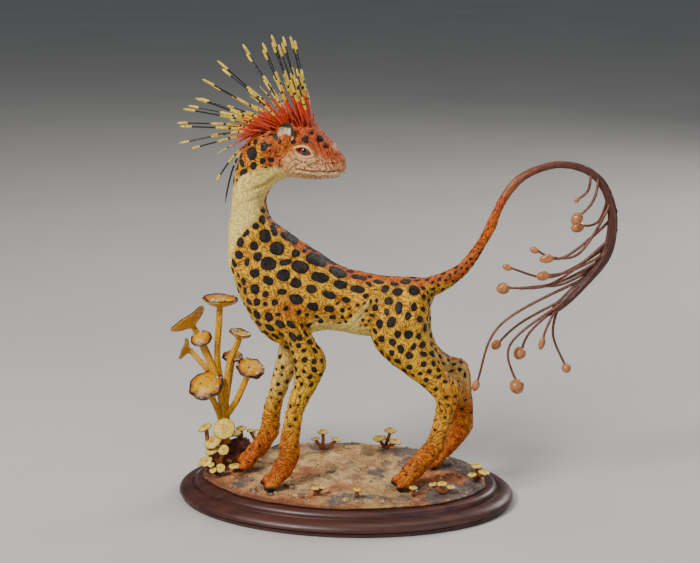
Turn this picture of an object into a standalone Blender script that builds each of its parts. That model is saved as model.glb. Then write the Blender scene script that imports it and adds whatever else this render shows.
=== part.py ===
"""Fantasy animal sculpture: a spotted, long-necked creature with a crest of quills on an oval wooden base.

Metres, +Z up. +X runs along the base towards the tail and +Y away from the side that is shown.
The origin is the middle of the base's underside.
"""

import math

import bmesh
import bpy
import numpy as np

# Wooden base, turned and moulded
BASE_LENGTH = 0.136
BASE_DEPTH = 0.0955
BASE_HEIGHT = 0.0078
FOOT_HEIGHT = 0.0018
FOOT_INSET = 0.0010
MOULDING_WIDTH = 0.0052
MOULDING_TOP = 0.0056
GROOVE_WIDTH = 0.0008
GROOVE_DEPTH = 0.0005
BEAD_WIDTH = 0.0026

# Clay ground on the base
LEDGE = 0.0094
GROUND_RIM = 0.0009
GROUND_THICKNESS = 0.0019
GROUND_SLOPE = 0.06
MOUND_HEIGHT = 0.0085
MOUND_REACH = 0.0105
MOUND_PLACE = (-0.845, 0.310)
STONE_SIZE = 0.0030

# Creature, from the soles to the crown
FIGURE_HEIGHT = 0.143
FIGURE_SETBACK = -0.006
FIGURE_TURN = 0.15

# Crest of quills
QUILL_LENGTH = 0.0335
QUILL_RADIUS = 0.00052
QUILLS_IN_A_ROW = 6
QUILL_ROWS = 6

# Mushrooms, placed in shares of the ground's half length and half depth
TALL_CLUSTER_HEIGHT = 0.061
TALL_CLUSTER_PLACE = (-0.870, 0.157)
PALE_CLUSTER_HEIGHT = 0.018
PALE_CLUSTER_PLACE = (-0.896, -0.130)
SMALL_MUSHROOM_HEIGHT = 0.0062

# Pieces that rest on each other keep this gap
GAP = 0.0003

# Facets round each kind of piece
BASE_SIDES = 36
GROUND_SIDES = 48
TRUNK_SIDES = 14
LEG_SIDES = 10
TAIL_SIDES = 7
STRAND_SIDES = 5
QUILL_SIDES = 4
TOE_SIDES = 5
STONE_SIDES = 6
TALL_SIDES = 7
PALE_SIDES = 6
SMALL_SIDES = 5

# The pose is drawn on a figure 142 units tall, standing on the level z = 0
FIGURE_UNIT = FIGURE_HEIGHT / 142
TALL_UNIT = TALL_CLUSTER_HEIGHT / 61
PALE_UNIT = PALE_CLUSTER_HEIGHT / 18

# Body, neck and head: inner outline x, z, outer outline x, z, place across, half width
TRUNK = (
    (33.5, 80.8, 34.0, 71.0, 0.0, 5.0),
    (28.0, 81.4, 29.5, 62.0, 0.0, 9.3),
    (14.0, 82.3, 12.5, 58.7, 0.0, 11.0),
    (0.0, 85.6, -1.0, 60.7, 0.0, 10.8),
    (-10.0, 91.9, -11.0, 60.3, 0.0, 11.6),
    (-18.0, 97.4, -20.5, 54.8, 0.0, 11.8),
    (-24.0, 101.8, -29.8, 59.2, 0.0, 11.4),
    (-27.5, 105.4, -37.4, 70.2, 0.0, 10.2),
    (-29.0, 109.4, -43.3, 87.0, 0.0, 8.8),
    (-29.2, 113.0, -43.4, 100.0, 0.0, 7.6),
    (-28.0, 115.7, -41.8, 112.5, -0.3, 6.8),
    (-25.3, 119.2, -40.2, 124.5, -1.0, 6.8),
    (-21.0, 121.3, -34.0, 137.0, -2.0, 7.4),
    (-16.5, 121.4, -24.0, 142.2, -2.6, 7.8),
    (-11.0, 121.1, -13.0, 143.0, -3.0, 7.5),
    (-7.2, 121.1, -8.9, 140.6, -3.0, 6.7),
    (-4.2, 121.4, -5.2, 136.9, -3.0, 5.5),
    (-1.2, 122.1, -2.0, 133.2, -3.0, 4.4),
    (0.9, 123.6, 0.6, 128.8, -3.0, 2.8),
)

# Legs: front outline x, z, rear outline x, z, place across, half width
LEGS = {
    "near fore": (
        (-29.6, 79.7, -11.5, 77.2, -4.5, 5.8),
        (-26.0, 68.0, -13.2, 66.8, -6.5, 5.8),
        (-20.4, 59.0, -10.4, 59.0, -7.6, 5.2),
        (-18.2, 52.5, -5.8, 51.8, -8.2, 4.7),
        (-17.6, 44.3, -7.0, 44.2, -8.6, 4.3),
        (-20.9, 30.5, -13.9, 30.8, -9.1, 3.2),
        (-23.4, 18.1, -15.7, 18.1, -9.2, 3.2),
        (-23.9, 12.6, -16.0, 11.9, -9.2, 3.3),
        (-26.8, 6.9, -18.8, 5.4, -9.2, 3.2),
        (-27.0, 4.2, -21.6, 2.6, -9.2, 2.3),
    ),
    "far fore": (
        (-27.0, 76.0, -9.5, 75.0, 4.5, 5.6),
        (-26.0, 64.0, -11.5, 62.5, 6.5, 5.4),
        (-25.8, 52.5, -16.0, 50.8, 8.0, 4.6),
        (-29.7, 36.3, -22.2, 35.4, 9.8, 3.6),
        (-33.0, 24.0, -26.0, 24.0, 10.6, 3.1),
        (-34.8, 14.8, -27.1, 14.3, 10.9, 3.2),
        (-37.2, 10.4, -29.6, 9.2, 11.0, 3.3),
        (-40.0, 6.7, -32.4, 4.6, 11.0, 3.1),
        (-40.6, 4.0, -35.4, 2.4, 11.0, 2.3),
    ),
    "near hind": (
        (12.4, 75.5, 33.1, 75.4, -4.5, 6.0),
        (10.9, 66.7, 33.3, 68.2, -6.5, 6.6),
        (12.6, 57.7, 34.0, 60.4, -7.7, 6.3),
        (18.0, 51.0, 37.4, 52.2, -8.4, 5.8),
        (26.4, 44.6, 41.8, 44.8, -8.9, 4.9),
        (34.0, 38.6, 46.8, 39.6, -9.4, 4.0),
        (37.2, 33.0, 45.0, 33.0, -9.7, 3.4),
        (35.0, 22.0, 41.6, 20.6, -10.0, 3.0),
        (32.3, 16.5, 40.2, 14.4, -10.2, 3.3),
        (24.0, 6.6, 32.4, 5.0, -10.5, 3.2),
        (23.4, 3.9, 28.8, 2.5, -10.5, 2.3),
    ),
    "far hind": (
        (13.5, 75.5, 33.0, 75.4, 4.5, 6.0),
        (12.0, 66.7, 33.2, 66.5, 6.5, 6.6),
        (14.0, 57.5, 33.8, 57.5, 8.0, 6.2),
        (22.5, 49.0, 36.4, 50.4, 9.2, 5.4),
        (31.5, 41.5, 41.0, 46.4, 10.2, 4.6),
        (38.5, 36.6, 47.6, 43.2, 11.0, 4.0),
        (42.0, 31.0, 49.8, 31.0, 11.4, 3.4),
        (42.2, 20.5, 50.3, 19.5, 11.9, 3.1),
        (40.5, 15.5, 49.2, 13.2, 12.0, 3.3),
        (34.8, 6.6, 42.6, 5.0, 12.0, 3.2),
        (34.2, 3.9, 39.4, 2.5, 12.0, 2.3),
    ),
}

# A toe: along, drop and radius; each leg has a pair, turned so many degrees from straight ahead
TOE_PATH = (
    (-2.2, 1.4, 2.2),
    (1.2, -1.2, 2.5),
    (4.0, -3.4, 2.5),
    (6.2, -4.3, 2.1),
    (7.8, -4.9, 1.0),
)
TOE_TURNS = (-52.0, 8.0)
TOE_APART = 0.6
TOE_REACH = 7.8

# Ear: height and radius of its rings; the pair stands on the crown
EARS = (-20.4, 137.4, -2.8, 5.6)
EAR_RINGS = ((-1.5, 1.0), (0.4, 1.9), (2.6, 2.1), (4.6, 1.2), (5.4, 0.4))
EAR_SIDES = 6

# Eye: how far out and radius of its rings; the pair sits on the cheeks
EYES = (-13.2, 133.4, -3.0, 6.6)
EYE_RINGS = ((-1.4, 1.2), (-0.4, 2.1), (0.5, 1.7), (1.0, 0.8))
EYE_SIDES = 7

# Tail: x, z, place across, radius
TAIL = (
    (30.0, 76.2, 0.0, 4.6),
    (39.5, 80.4, 0.0, 3.2),
    (47.5, 86.6, 0.0, 2.3),
    (55.4, 99.3, 0.0, 1.9),
    (61.2, 112.6, 0.0, 1.7),
    (69.6, 121.8, 0.0, 1.5),
    (83.0, 125.7, 0.0, 1.3),
    (96.0, 121.3, 0.0, 1.5),
    (102.9, 108.0, 0.0, 1.6),
    (102.0, 93.0, 0.0, 2.0),
    (94.6, 81.2, 0.0, 2.1),
    (85.0, 71.3, 0.0, 1.9),
    (79.5, 66.0, 0.0, 0.9),
)

# Strands of the tail: row of TAIL it parts from, bend x, z, bulb x, z, place across, bulb length, width
STRANDS = (
    (6.7, 93.4, 116.0, 89.2, 112.0, -1.5, 2.4, 1.8),
    (7.0, 95.3, 112.0, 89.4, 105.2, -4.0, 5.2, 4.2),
    (7.5, 97.8, 103.2, 89.8, 100.8, 1.5, 5.2, 4.2),
    (7.7, 91.0, 91.8, 78.3, 89.4, -3.0, 5.6, 3.6),
    (8.1, 85.0, 88.6, 73.4, 91.5, 3.5, 3.6, 2.8),
    (8.6, 81.0, 79.6, 61.8, 77.6, -2.5, 5.2, 4.6),
    (8.8, 81.0, 81.2, 63.1, 85.0, 2.0, 4.0, 2.6),
    (9.0, 88.0, 85.0, 77.1, 82.9, -4.5, 5.2, 3.6),
    (9.4, 85.5, 78.0, 74.3, 76.6, 4.0, 2.0, 1.4),
    (9.2, 84.0, 79.8, 69.0, 77.2, -0.5, 2.4, 1.5),
    (9.8, 61.5, 63.0, 51.9, 37.9, -1.0, 4.6, 3.0),
    (10.6, 69.0, 62.6, 59.4, 53.6, 2.5, 4.4, 3.6),
    (10.8, 65.2, 55.4, 68.1, 38.1, -3.5, 6.0, 5.6),
    (11.0, 73.0, 59.8, 68.7, 50.6, 0.5, 5.2, 4.8),
    (11.3, 78.8, 61.0, 77.3, 55.3, -2.5, 5.2, 2.5),
    (11.1, 81.6, 57.4, 87.2, 43.7, 3.0, 4.0, 3.6),
)
STRAND_RADIUS = 0.55

# Crest: rows of TRUNK where it starts and ends, and how far its own rows part
CREST_START = 14.3
CREST_END = 12.3
CREST_ROW_ANGLE = 13.0
CREST_SPREAD = 7.0

# Lean of the quills along the crest: share of the way from crown to nape, degrees
CREST_LEANS = ((0.0, 101.0), (0.22, 103.5), (0.36, 109.0), (0.45, 119.0), (0.52, 131.0), (0.60, 147.0),
               (0.72, 160.0), (0.84, 172.0), (0.94, 184.0), (1.0, 198.0))
SHORT_QUILL = 0.62

# Tall mushrooms: stem bend x, z, cap x, z, place across, cap radius, cap axis x, y, z, dish
TALL_MUSHROOMS = (
    (-2.3, 34.0, -0.7, 60.5, 0.0, 7.2, 0.05, 0.0, 1.0, -0.35),
    (-4.6, 31.0, -14.4, 51.5, 1.0, 8.0, -0.60, 0.15, 0.76, -0.30),
    (-3.0, 30.0, -8.1, 44.6, -3.0, 4.4, -0.10, -0.55, 0.85, 0.25),
    (-4.5, 27.0, -17.0, 38.4, 3.5, 4.6, -0.93, -0.1, 0.35, -0.40),
    (-2.6, 16.0, -5.9, 25.5, -5.0, 7.3, -0.12, -0.6, 0.82, 0.18),
    (2.2, 32.0, 6.8, 46.0, 2.5, 4.5, 0.25, -0.05, 0.97, -0.35),
    (1.6, 24.0, 3.0, 35.3, 5.0, 4.2, 0.10, -0.35, 0.95, 0.25),
    (5.4, 18.0, 11.6, 32.4, -1.5, 5.9, 0.30, -0.42, 0.85, 0.18),
)
TALL_STEM_RADIUS = 1.25
TALL_STEM_SPREAD = 0.9
TALL_ROOT_RADIUS = 3.0
TALL_ROOT_LEVELS = ((0.0, 1.0), (2.0, 0.83), (6.0, 0.70), (12.0, 0.50))

# Pale mushrooms: cap x, y, z over the cluster's place, cap radius, lean of the cap x, y
PALE_MUSHROOMS = (
    (3.2, 3.2, 16.6, 4.5, 0.05, -1.3),
    (-4.6, 2.6, 17.0, 3.0, -0.40, -0.25),
    (-0.9, 0.2, 11.6, 3.7, -0.35, -0.5),
    (3.7, -1.4, 9.2, 2.3, 0.10, -1.2),
    (-1.0, -1.4, 8.4, 2.8, -0.25, -0.25),
    (-5.2, -2.0, 4.2, 2.2, -0.90, -0.5),
    (-2.6, -4.2, 4.9, 2.6, -0.50, -0.7),
    (3.0, -5.0, 2.6, 2.1, 0.0, -0.9),
    (0.5, -7.3, 2.4, 1.5, -0.15, -0.6),
    (-0.4, -6.4, 4.4, 1.4, -0.10, -0.5),
)
PALE_STEM_RADIUS = 0.9
PALE_ROOT_RADIUS = 3.2
PALE_ROOT_LEVELS = ((0.0, 1.0), (2.0, 0.90), (5.5, 0.66), (9.0, 0.36))
PALE_STEM_SAG = 0.4

# Small clumps: name, place in shares of the ground, and each cap's offset x, y, height and radius in shares
SMALL_CLUMPS = (
    ("mound", -0.770, 0.330, ((0.0, 0.0, 0.60, 0.36), (-0.3, -0.7, 0.45, 0.44))),
    ("back_left", -0.650, 0.400, ((0.0, 0.0, 1.05, 0.40), (-0.55, -0.2, 1.2, 0.26))),
    ("front_of_mound", -0.760, -0.140, ((0.0, 0.0, 0.35, 0.40),)),
    ("back_middle", -0.208, 0.572, ((0.0, 0.0, 1.25, 0.38), (-0.5, -0.2, 0.8, 0.28), (0.85, 0.45, 0.6, 0.30))),
    ("back_right", 0.226, 0.705, ((0.35, 0.3, 1.15, 0.42), (-0.35, 0.0, 0.65, 0.46), (0.75, -0.25, 0.55, 0.42))),
    ("right", 0.910, -0.03, ((0.0, 0.0, 0.85, 0.36), (0.5, -0.6, 0.65, 0.36), (-0.25, -0.75, 0.5, 0.30))),
    ("front_right", 0.694, -0.465, ((0.0, 0.0, 0.6, 0.34), (-0.6, 0.1, 0.5, 0.26), (0.55, -0.1, 0.45, 0.28))),
    ("front_middle", 0.507, -0.572, ((0.0, 0.0, 0.5, 0.28),)),
    ("front_centre", 0.139, -0.678, ((0.0, 0.0, 0.45, 0.27),)),
    ("front_left", -0.142, -0.686, ((0.0, 0.0, 0.45, 0.28), (0.4, 0.35, 0.4, 0.24))),
)
SMALL_STEM_SHARE = 0.11

# Stones pressed into the ground: place in shares of its half length and half depth, and size in shares
STONES = (
    (-0.694, -0.505, 1.0),
    (-0.573, -0.652, 0.8),
    (0.312, -0.718, 0.7),
    (0.868, -0.319, 0.8),
    (0.521, 0.638, 0.9),
    (-0.521, 0.585, 1.1),
)

STONE_RINGS = ((-0.45, 0.6), (0.0, 1.0), (0.35, 0.75), (0.5, 0.3))

COLOURS = {
    "wood": ((0.055, 0.016, 0.010), 0.25, 0.0),
    "ground": ((0.45, 0.28, 0.12), 0.80, 0.0),
    "skin": ((0.72, 0.42, 0.10), 0.55, 0.0),
    "quill": ((0.48, 0.05, 0.02), 0.45, 0.0),
    "yellow mushroom": ((0.76, 0.45, 0.06), 0.45, 0.0),
    "pale mushroom": ((0.80, 0.72, 0.40), 0.50, 0.0),
}


def material(name):
    """A Principled material with the colour, roughness and metallic value listed for it."""
    found = bpy.data.materials.get(name)
    if found:
        return found
    colour, roughness, metallic = COLOURS[name]
    made = bpy.data.materials.new(name)
    made.use_nodes = True
    shader = made.node_tree.nodes["Principled BSDF"]
    shader.inputs["Base Color"].default_value = (*colour, 1.0)
    shader.inputs["Roughness"].default_value = roughness
    shader.inputs["Metallic"].default_value = metallic
    return made


def smooth_rows(rows, steps):
    """Rows on a Catmull-Rom curve through the given rows, with so many steps to each span."""
    rows = np.array(rows, dtype=float)
    padded = np.vstack((2 * rows[0] - rows[1], rows, 2 * rows[-1] - rows[-2]))
    return np.array([row_at(padded, 1 + i / steps) for i in range(steps * (len(rows) - 1) + 1)])


def row_at(padded, place):
    """The point at a fractional place on the Catmull-Rom curve through padded rows."""
    first = min(int(place), len(padded) - 3)
    t = place - first
    a, b, c, d = padded[first - 1:first + 3]
    return 0.5 * (2 * b + (c - a) * t + (2 * a - 5 * b + 4 * c - d) * t ** 2 + (3 * b - a - 3 * c + d) * t ** 3)


def curve_at(rows, place):
    """The same curve through plain rows, read at a fractional row number."""
    rows = np.array(rows, dtype=float)
    padded = np.vstack((2 * rows[0] - rows[1], rows, 2 * rows[-1] - rows[-2]))
    return row_at(padded, place + 1)


def body_from_rings(name, rings, paint):
    """One closed body: rings of equal length joined side by side, with a flat face on each end."""
    shell = bmesh.new()
    layers = [[shell.verts.new(point) for point in ring] for ring in rings]
    count = len(layers[0])
    for lower, upper in zip(layers, layers[1:]):
        for i in range(count):
            j = (i + 1) % count
            shell.faces.new((lower[i], lower[j], upper[j], upper[i]))
    shell.faces.new(layers[0])
    shell.faces.new(layers[-1])
    bmesh.ops.recalc_face_normals(shell, faces=shell.faces)
    mesh = bpy.data.meshes.new(name)
    shell.to_mesh(mesh)
    shell.free()
    mesh.shade_smooth()
    mesh.set_sharp_from_angle(angle=math.radians(40))
    mesh.materials.append(material(paint))
    made = bpy.data.objects.new(name, mesh)
    bpy.context.scene.collection.objects.link(made)
    return made


def join(target, others):
    """Unite the other bodies with the target, and keep them as hidden guides."""
    for other in others:
        union = target.modifiers.new("join " + other.name, "BOOLEAN")
        union.operation = "UNION"
        union.solver = "EXACT"
        union.object = other
        other.hide_render = True
        other.display_type = "WIRE"
    return target


def turned_ring(centre, axis, radius, sides):
    """A round ring about an axis, with its first point on the side nearest to +X."""
    axis = np.array(axis, dtype=float)
    axis /= np.linalg.norm(axis)
    side = np.cross((0.0, 1.0, 0.0), axis)
    side /= np.linalg.norm(side)
    other = np.cross(axis, side)
    angles = [2 * math.pi * i / sides for i in range(sides)]
    return [np.array(centre) + radius * (math.cos(a) * side + math.sin(a) * other) for a in angles]


def tube_rings(centres, radii, sides):
    """Round rings along a path, each square to the path."""
    ways = np.gradient(np.array(centres), axis=0)
    return [turned_ring(c, w, r, sides) for c, w, r in zip(centres, ways, radii)]


# Heights of the ground and of what stands on it

def ground_place(share_x, share_y):
    """A place on the ground from shares of its half length and half depth."""
    return share_x * (BASE_LENGTH / 2 - LEDGE), share_y * (BASE_DEPTH / 2 - LEDGE)


def oval_share(x, y):
    """How far a place is from the middle of the ground, as a share of the way to its rim."""
    return math.hypot(x / (BASE_LENGTH / 2 - LEDGE), y / (BASE_DEPTH / 2 - LEDGE))


def ground_height(x, y):
    """Height of the clay: a slope that rises to the back, a rim, and a steep mound behind the mushrooms."""
    floor = BASE_HEIGHT + GAP
    thickness = max(GROUND_THICKNESS + GROUND_SLOPE * y, GROUND_RIM)
    mound_x, mound_y = ground_place(*MOUND_PLACE)
    away = math.hypot(x - mound_x, y - mound_y) / MOUND_REACH
    mound = MOUND_HEIGHT * math.exp(-away ** 4)
    share = min(oval_share(x, y), 1.0)
    rim_fall = share ** 8
    return floor + thickness * (1 - rim_fall) + mound * (1 - share ** 24) + GROUND_RIM * rim_fall


def standing_level(x, y, radius):
    """The level that clears the ground under a round foot."""
    turns = [math.pi * i / 4 for i in range(8)]
    heights = [ground_height(x + radius * math.cos(t), y + radius * math.sin(t)) for t in turns]
    return max(heights + [ground_height(x, y)]) + GAP


def figure_point(x, across, z, lift=0.0):
    """A point of the figure's drawing in metres; its middle plane runs aslant over the base."""
    x = x * FIGURE_UNIT
    y = FIGURE_SETBACK + FIGURE_TURN * x + across * FIGURE_UNIT
    return np.array((x, y, sole_level() + z * FIGURE_UNIT + lift))


def sole_level():
    """The level that the figure's drawing stands on."""
    return ground_height(0.0, FIGURE_SETBACK) + GAP


def build_base():
    """The wooden base: foot, groove, broad lower moulding, groove and upper bead round an oval."""
    profile = [(FOOT_INSET, 0.0), (FOOT_INSET, FOOT_HEIGHT)]
    profile.append((FOOT_INSET + GROOVE_WIDTH, FOOT_HEIGHT + GROOVE_DEPTH))
    rise = MOULDING_TOP - FOOT_HEIGHT - GROOVE_DEPTH
    for angle in (0, 30, 60, 90):
        turn = math.radians(angle)
        profile.append((MOULDING_WIDTH * (1 - math.cos(turn)), MOULDING_TOP - rise * (1 - math.sin(turn))))
    inner = MOULDING_WIDTH + GROOVE_WIDTH
    profile.append((inner, MOULDING_TOP - GROOVE_DEPTH))
    for angle in (0, 45, 90):
        turn = math.radians(angle)
        bead = MOULDING_TOP + (BASE_HEIGHT - MOULDING_TOP) * math.sin(turn)
        profile.append((inner + BEAD_WIDTH * (1 - math.cos(turn)) + GROOVE_DEPTH, bead))
    rings = []
    for inset, height in profile:
        length = BASE_LENGTH / 2 - inset
        depth = BASE_DEPTH / 2 - inset
        turns = [2 * math.pi * i / BASE_SIDES for i in range(BASE_SIDES)]
        rings.append([(length * math.cos(t), depth * math.sin(t), height) for t in turns])
    return body_from_rings("wooden_base", rings, "wood")


def ground_ring(share, sides):
    """Places round the ground at a share of its oval, with a gently waving edge."""
    places = []
    for i in range(sides):
        turn = 2 * math.pi * i / sides
        wave = share * (1 - 0.012 * (1 + math.sin(5 * turn + 1)) - 0.008 * (1 + math.sin(9 * turn)))
        x = (BASE_LENGTH / 2 - LEDGE) * wave * math.cos(turn)
        y = (BASE_DEPTH / 2 - LEDGE) * wave * math.sin(turn)
        places.append((x, y))
    return places


def build_ground():
    """The clay ground, a low uneven slab with stones pressed into it."""
    floor = BASE_HEIGHT + GAP
    rings = [[(x, y, floor) for x, y in ground_ring(1.0, GROUND_SIDES)]]
    rings.append([(x, y, floor + GROUND_RIM * 0.6) for x, y in ground_ring(1.0, GROUND_SIDES)])
    for share in (0.97, 0.91, 0.83, 0.72, 0.56, 0.38, 0.18):
        rings.append([(x, y, ground_height(x, y)) for x, y in ground_ring(share, GROUND_SIDES)])
    ground = body_from_rings("ground", rings, "ground")
    stones = []
    for number, (share_x, share_y, size) in enumerate(STONES):
        x, y = ground_place(share_x, share_y)
        radius = STONE_SIZE * size
        middle = ground_height(x, y) + radius * 0.05
        stone = []
        for height, share in STONE_RINGS:
            level = max(middle + height * radius, floor + GAP)
            stone.append(turned_ring((x, y, level), (0, 0, 1), share * radius, STONE_SIDES))
        stones.append(body_from_rings(f"stone guide {number}", stone, "ground"))
    return join(ground, stones)


def flattened_rings(rows, sides, fullness, lift=0.0, lift_top=1.0):
    """Rings of a limb drawn by two outlines: a superellipse between them, with a half width across."""
    rings = []
    for inner_x, inner_z, outer_x, outer_z, across, width in rows:
        middle = np.array(((inner_x + outer_x) / 2, (inner_z + outer_z) / 2))
        reach = np.array(((outer_x - inner_x) / 2, (outer_z - inner_z) / 2))
        ring = []
        for i in range(sides):
            turn = 2 * math.pi * i / sides
            c, s = math.cos(turn), math.sin(turn)
            c = math.copysign(abs(c) ** (2 / fullness), c)
            s = math.copysign(abs(s) ** (2 / fullness), s)
            x, z = middle + c * reach
            ring.append(figure_point(x, across + s * width, z, lift * (1 - z / lift_top)))
        rings.append(ring)
    return rings


def build_leg(name, rows):
    """One leg with its two toes; the lower leg follows the level of the ground under its own foot."""
    ankle = rows[-2]
    toe_x = (ankle[0] + ankle[2]) / 2
    toe_z = (ankle[1] + ankle[3]) / 2
    across = ankle[4]
    foot = figure_point(toe_x - TOE_REACH / 2, across, 0.0)
    lift = standing_level(foot[0], foot[1], TOE_REACH / 2 * FIGURE_UNIT) - foot[2]
    rings = flattened_rings(smooth_rows(rows, 2), LEG_SIDES, 2.2, lift, rows[0][1])
    parts = [body_from_rings(name + " guide", rings, "skin")]
    for side, degrees in zip((-1, 1), TOE_TURNS):
        ahead = math.cos(math.radians(degrees))
        aside = math.sin(math.radians(degrees))
        toe = []
        for along, drop, radius in TOE_PATH:
            middle = across + side * TOE_APART + aside * along
            centre = figure_point(toe_x - ahead * along, middle, toe_z + drop, lift)
            ring = turned_ring(centre, (-ahead, aside, -0.5), radius * FIGURE_UNIT, TOE_SIDES)
            toe.append([(p[0], p[1], max(p[2], foot[2] + lift)) for p in ring])
        parts.append(body_from_rings(f"{name} toe {side} guide", toe, "skin"))
    return parts


def strand_rings(leave, bend_x, bend_z, bulb_x, bulb_z, across, length, width):
    """A thin strand that parts from the tail, bends once and swells into a bulb at its end."""
    root = curve_at(TAIL, leave - 0.25)
    part = curve_at(TAIL, leave + 0.1)
    start = ((root[0], 0.0, root[1]), (part[0], across * 0.2, part[1]))
    path = smooth_rows(start + ((bend_x, across, bend_z), (bulb_x, across, bulb_z)), 2)
    way = path[-1] - path[-2]
    way /= np.linalg.norm(way)
    thin = [figure_point(*point) for point in path[:-1]] + [figure_point(*(path[-1] - way * length * 0.62))]
    radii = [STRAND_RADIUS * 1.2] * 3 + [STRAND_RADIUS] * (len(thin) - 3)
    for along, share in ((-0.36, 0.78), (0.0, 1.0), (0.36, 0.7), (0.5, 0.25)):
        thin.append(figure_point(*(path[-1] + way * length * along)))
        radii.append(width / 2 * share)
    return tube_rings(thin, np.array(radii) * FIGURE_UNIT, STRAND_SIDES)


def build_ear(side):
    """A small rounded ear that leans outward."""
    x, z, middle, apart = EARS
    rings = []
    for height, radius in EAR_RINGS:
        centre = figure_point(x + height * 0.25, middle + side * (apart + height * 0.35), z + height)
        rings.append(turned_ring(centre, (0.2, side * 0.5, 1.0), radius * FIGURE_UNIT, EAR_SIDES))
    return body_from_rings(f"ear guide {side}", rings, "skin")


def build_eye(side):
    """The swelling of an eye on the cheek."""
    x, z, middle, apart = EYES
    rings = []
    for out, radius in EYE_RINGS:
        centre = figure_point(x, middle + side * (apart + out), z)
        rings.append(turned_ring(centre, (0.01, side, 0.0), radius * FIGURE_UNIT, EYE_SIDES))
    return body_from_rings(f"eye guide {side}", rings, "skin")


def build_creature():
    """The creature in one piece: body, neck and head, four legs, ears, eyes, tail and its strands."""
    creature = body_from_rings("creature", flattened_rings(smooth_rows(TRUNK, 2), TRUNK_SIDES, 2.15), "skin")
    parts = []
    for name, rows in LEGS.items():
        parts += build_leg(name, rows)
    tail = smooth_rows(TAIL, 2)
    centres = [figure_point(x, across, z) for x, z, across, _ in tail]
    parts.append(body_from_rings("tail guide", tube_rings(centres, tail[:, 3] * FIGURE_UNIT, TAIL_SIDES), "skin"))
    for number, strand in enumerate(STRANDS):
        parts.append(body_from_rings(f"strand guide {number}", strand_rings(*strand), "skin"))
    for side in (-1, 1):
        parts += [build_ear(side), build_eye(side)]
    return join(creature, parts)


def crest_root(place, turn):
    """A point of the crown and nape, at a fractional row of TRUNK and an angle across, and the way out there."""
    inner_x, inner_z, outer_x, outer_z, across, width = curve_at(TRUNK, place)
    c, s = math.cos(math.radians(turn)), math.sin(math.radians(turn))
    middle = figure_point((inner_x + outer_x) / 2, across, (inner_z + outer_z) / 2)
    x = (inner_x + outer_x) / 2 + c * (outer_x - inner_x) / 2
    z = (inner_z + outer_z) / 2 + c * (outer_z - inner_z) / 2
    root = figure_point(x, across + s * width, z)
    return root, (root - middle) / np.linalg.norm(root - middle)


def build_quills():
    """The crest: rows of thin quills that fan out from the crown to the nape, each a piece of its own."""
    chance = np.random.default_rng(11)
    number = 0
    for row in range(QUILL_ROWS):
        side = row - (QUILL_ROWS - 1) / 2
        step = row // 2 + QUILL_ROWS // 2 * (row % 2)
        for i in range(QUILLS_IN_A_ROW):
            number += 1
            share = (i + (step + 0.5) / QUILL_ROWS) / QUILLS_IN_A_ROW
            place = CREST_START + (CREST_END - CREST_START) * share
            root, outward = crest_root(place, side * CREST_ROW_ANGLE)
            lean = np.interp(share, *zip(*CREST_LEANS)) + chance.uniform(-1.5, 1.5)
            aside = math.radians(side * CREST_SPREAD + chance.uniform(-1.0, 1.0))
            length = QUILL_LENGTH * (1.0 - chance.uniform(0.0, 0.07))
            if (i + row) % 3 == 0:
                length *= SHORT_QUILL - chance.uniform(0.0, 0.15)
            turn = math.radians(lean)
            way = np.array((math.cos(turn) * math.cos(aside), math.sin(aside), math.sin(turn) * math.cos(aside)))
            droop = np.array((-math.sin(turn), 0.0, math.cos(turn))) * 0.04 * length
            shares = (0.0, 0.6, 1.0)
            start = root + outward * (GAP + 0.6 * QUILL_RADIUS) + way * GAP
            centres = [start + way * length * t + droop * t ** 2 for t in shares]
            radii = [QUILL_RADIUS * r for r in (0.95, 0.9, 0.6)]
            body_from_rings(f"quill_{number:02d}", tube_rings(centres, radii, QUILL_SIDES), "quill")


def cap_rings(centre, axis, radius, stem, dish, sides):
    """A mushroom cap: its underside widens from the stem to the rim, and its top is domed or dished."""
    under = funnel_depth(dish)
    profile = [(-under, stem / radius), (-under * 0.4, 0.72), (0.0, 1.0), (0.10, 0.93), (dish + 0.1, 0.3)]
    if sides == SMALL_SIDES:
        profile = [(-under, stem / radius), (0.0, 1.0), (dish, 0.5)]
    return [turned_ring(centre + axis * along * radius, axis, share * radius, sides) for along, share in profile]


def funnel_depth(dish):
    """How deep a cap's underside is, in shares of its radius: deep below a dished top."""
    return 0.55 if dish < 0 else 0.22


def mushroom(name, stem_rows, axis, radius, stem, dish, sides, paint):
    """A stem along a smooth path with its cap on top, as one closed body."""
    path = np.array(stem_rows)
    if sides > SMALL_SIDES:
        path = smooth_rows(stem_rows, 2 if len(stem_rows) > 3 else 1)
    axis = np.array(axis, dtype=float)
    axis /= np.linalg.norm(axis)
    path[-1] = path[-1] - axis * radius * (funnel_depth(dish) + 0.12)
    rings = tube_rings(path, [stem] * len(path), sides)
    rings[0] = turned_ring(path[0], (0, 0, 1), stem, sides)
    rings[-1] = turned_ring(path[-1], axis, stem, sides)
    return body_from_rings(name, rings + cap_rings(stem_rows[-1], axis, radius, stem, dish, sides), paint)


def root_rings(foot, levels, radius, unit, sides):
    """Level rings of the lump that a cluster grows from: height in units, and width in shares of its radius."""
    centres = [foot + np.array((0, 0, height)) * unit for height, _ in levels]
    return [turned_ring(c, (0, 0, 1), share * radius * unit, sides) for c, (_, share) in zip(centres, levels)]


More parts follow.
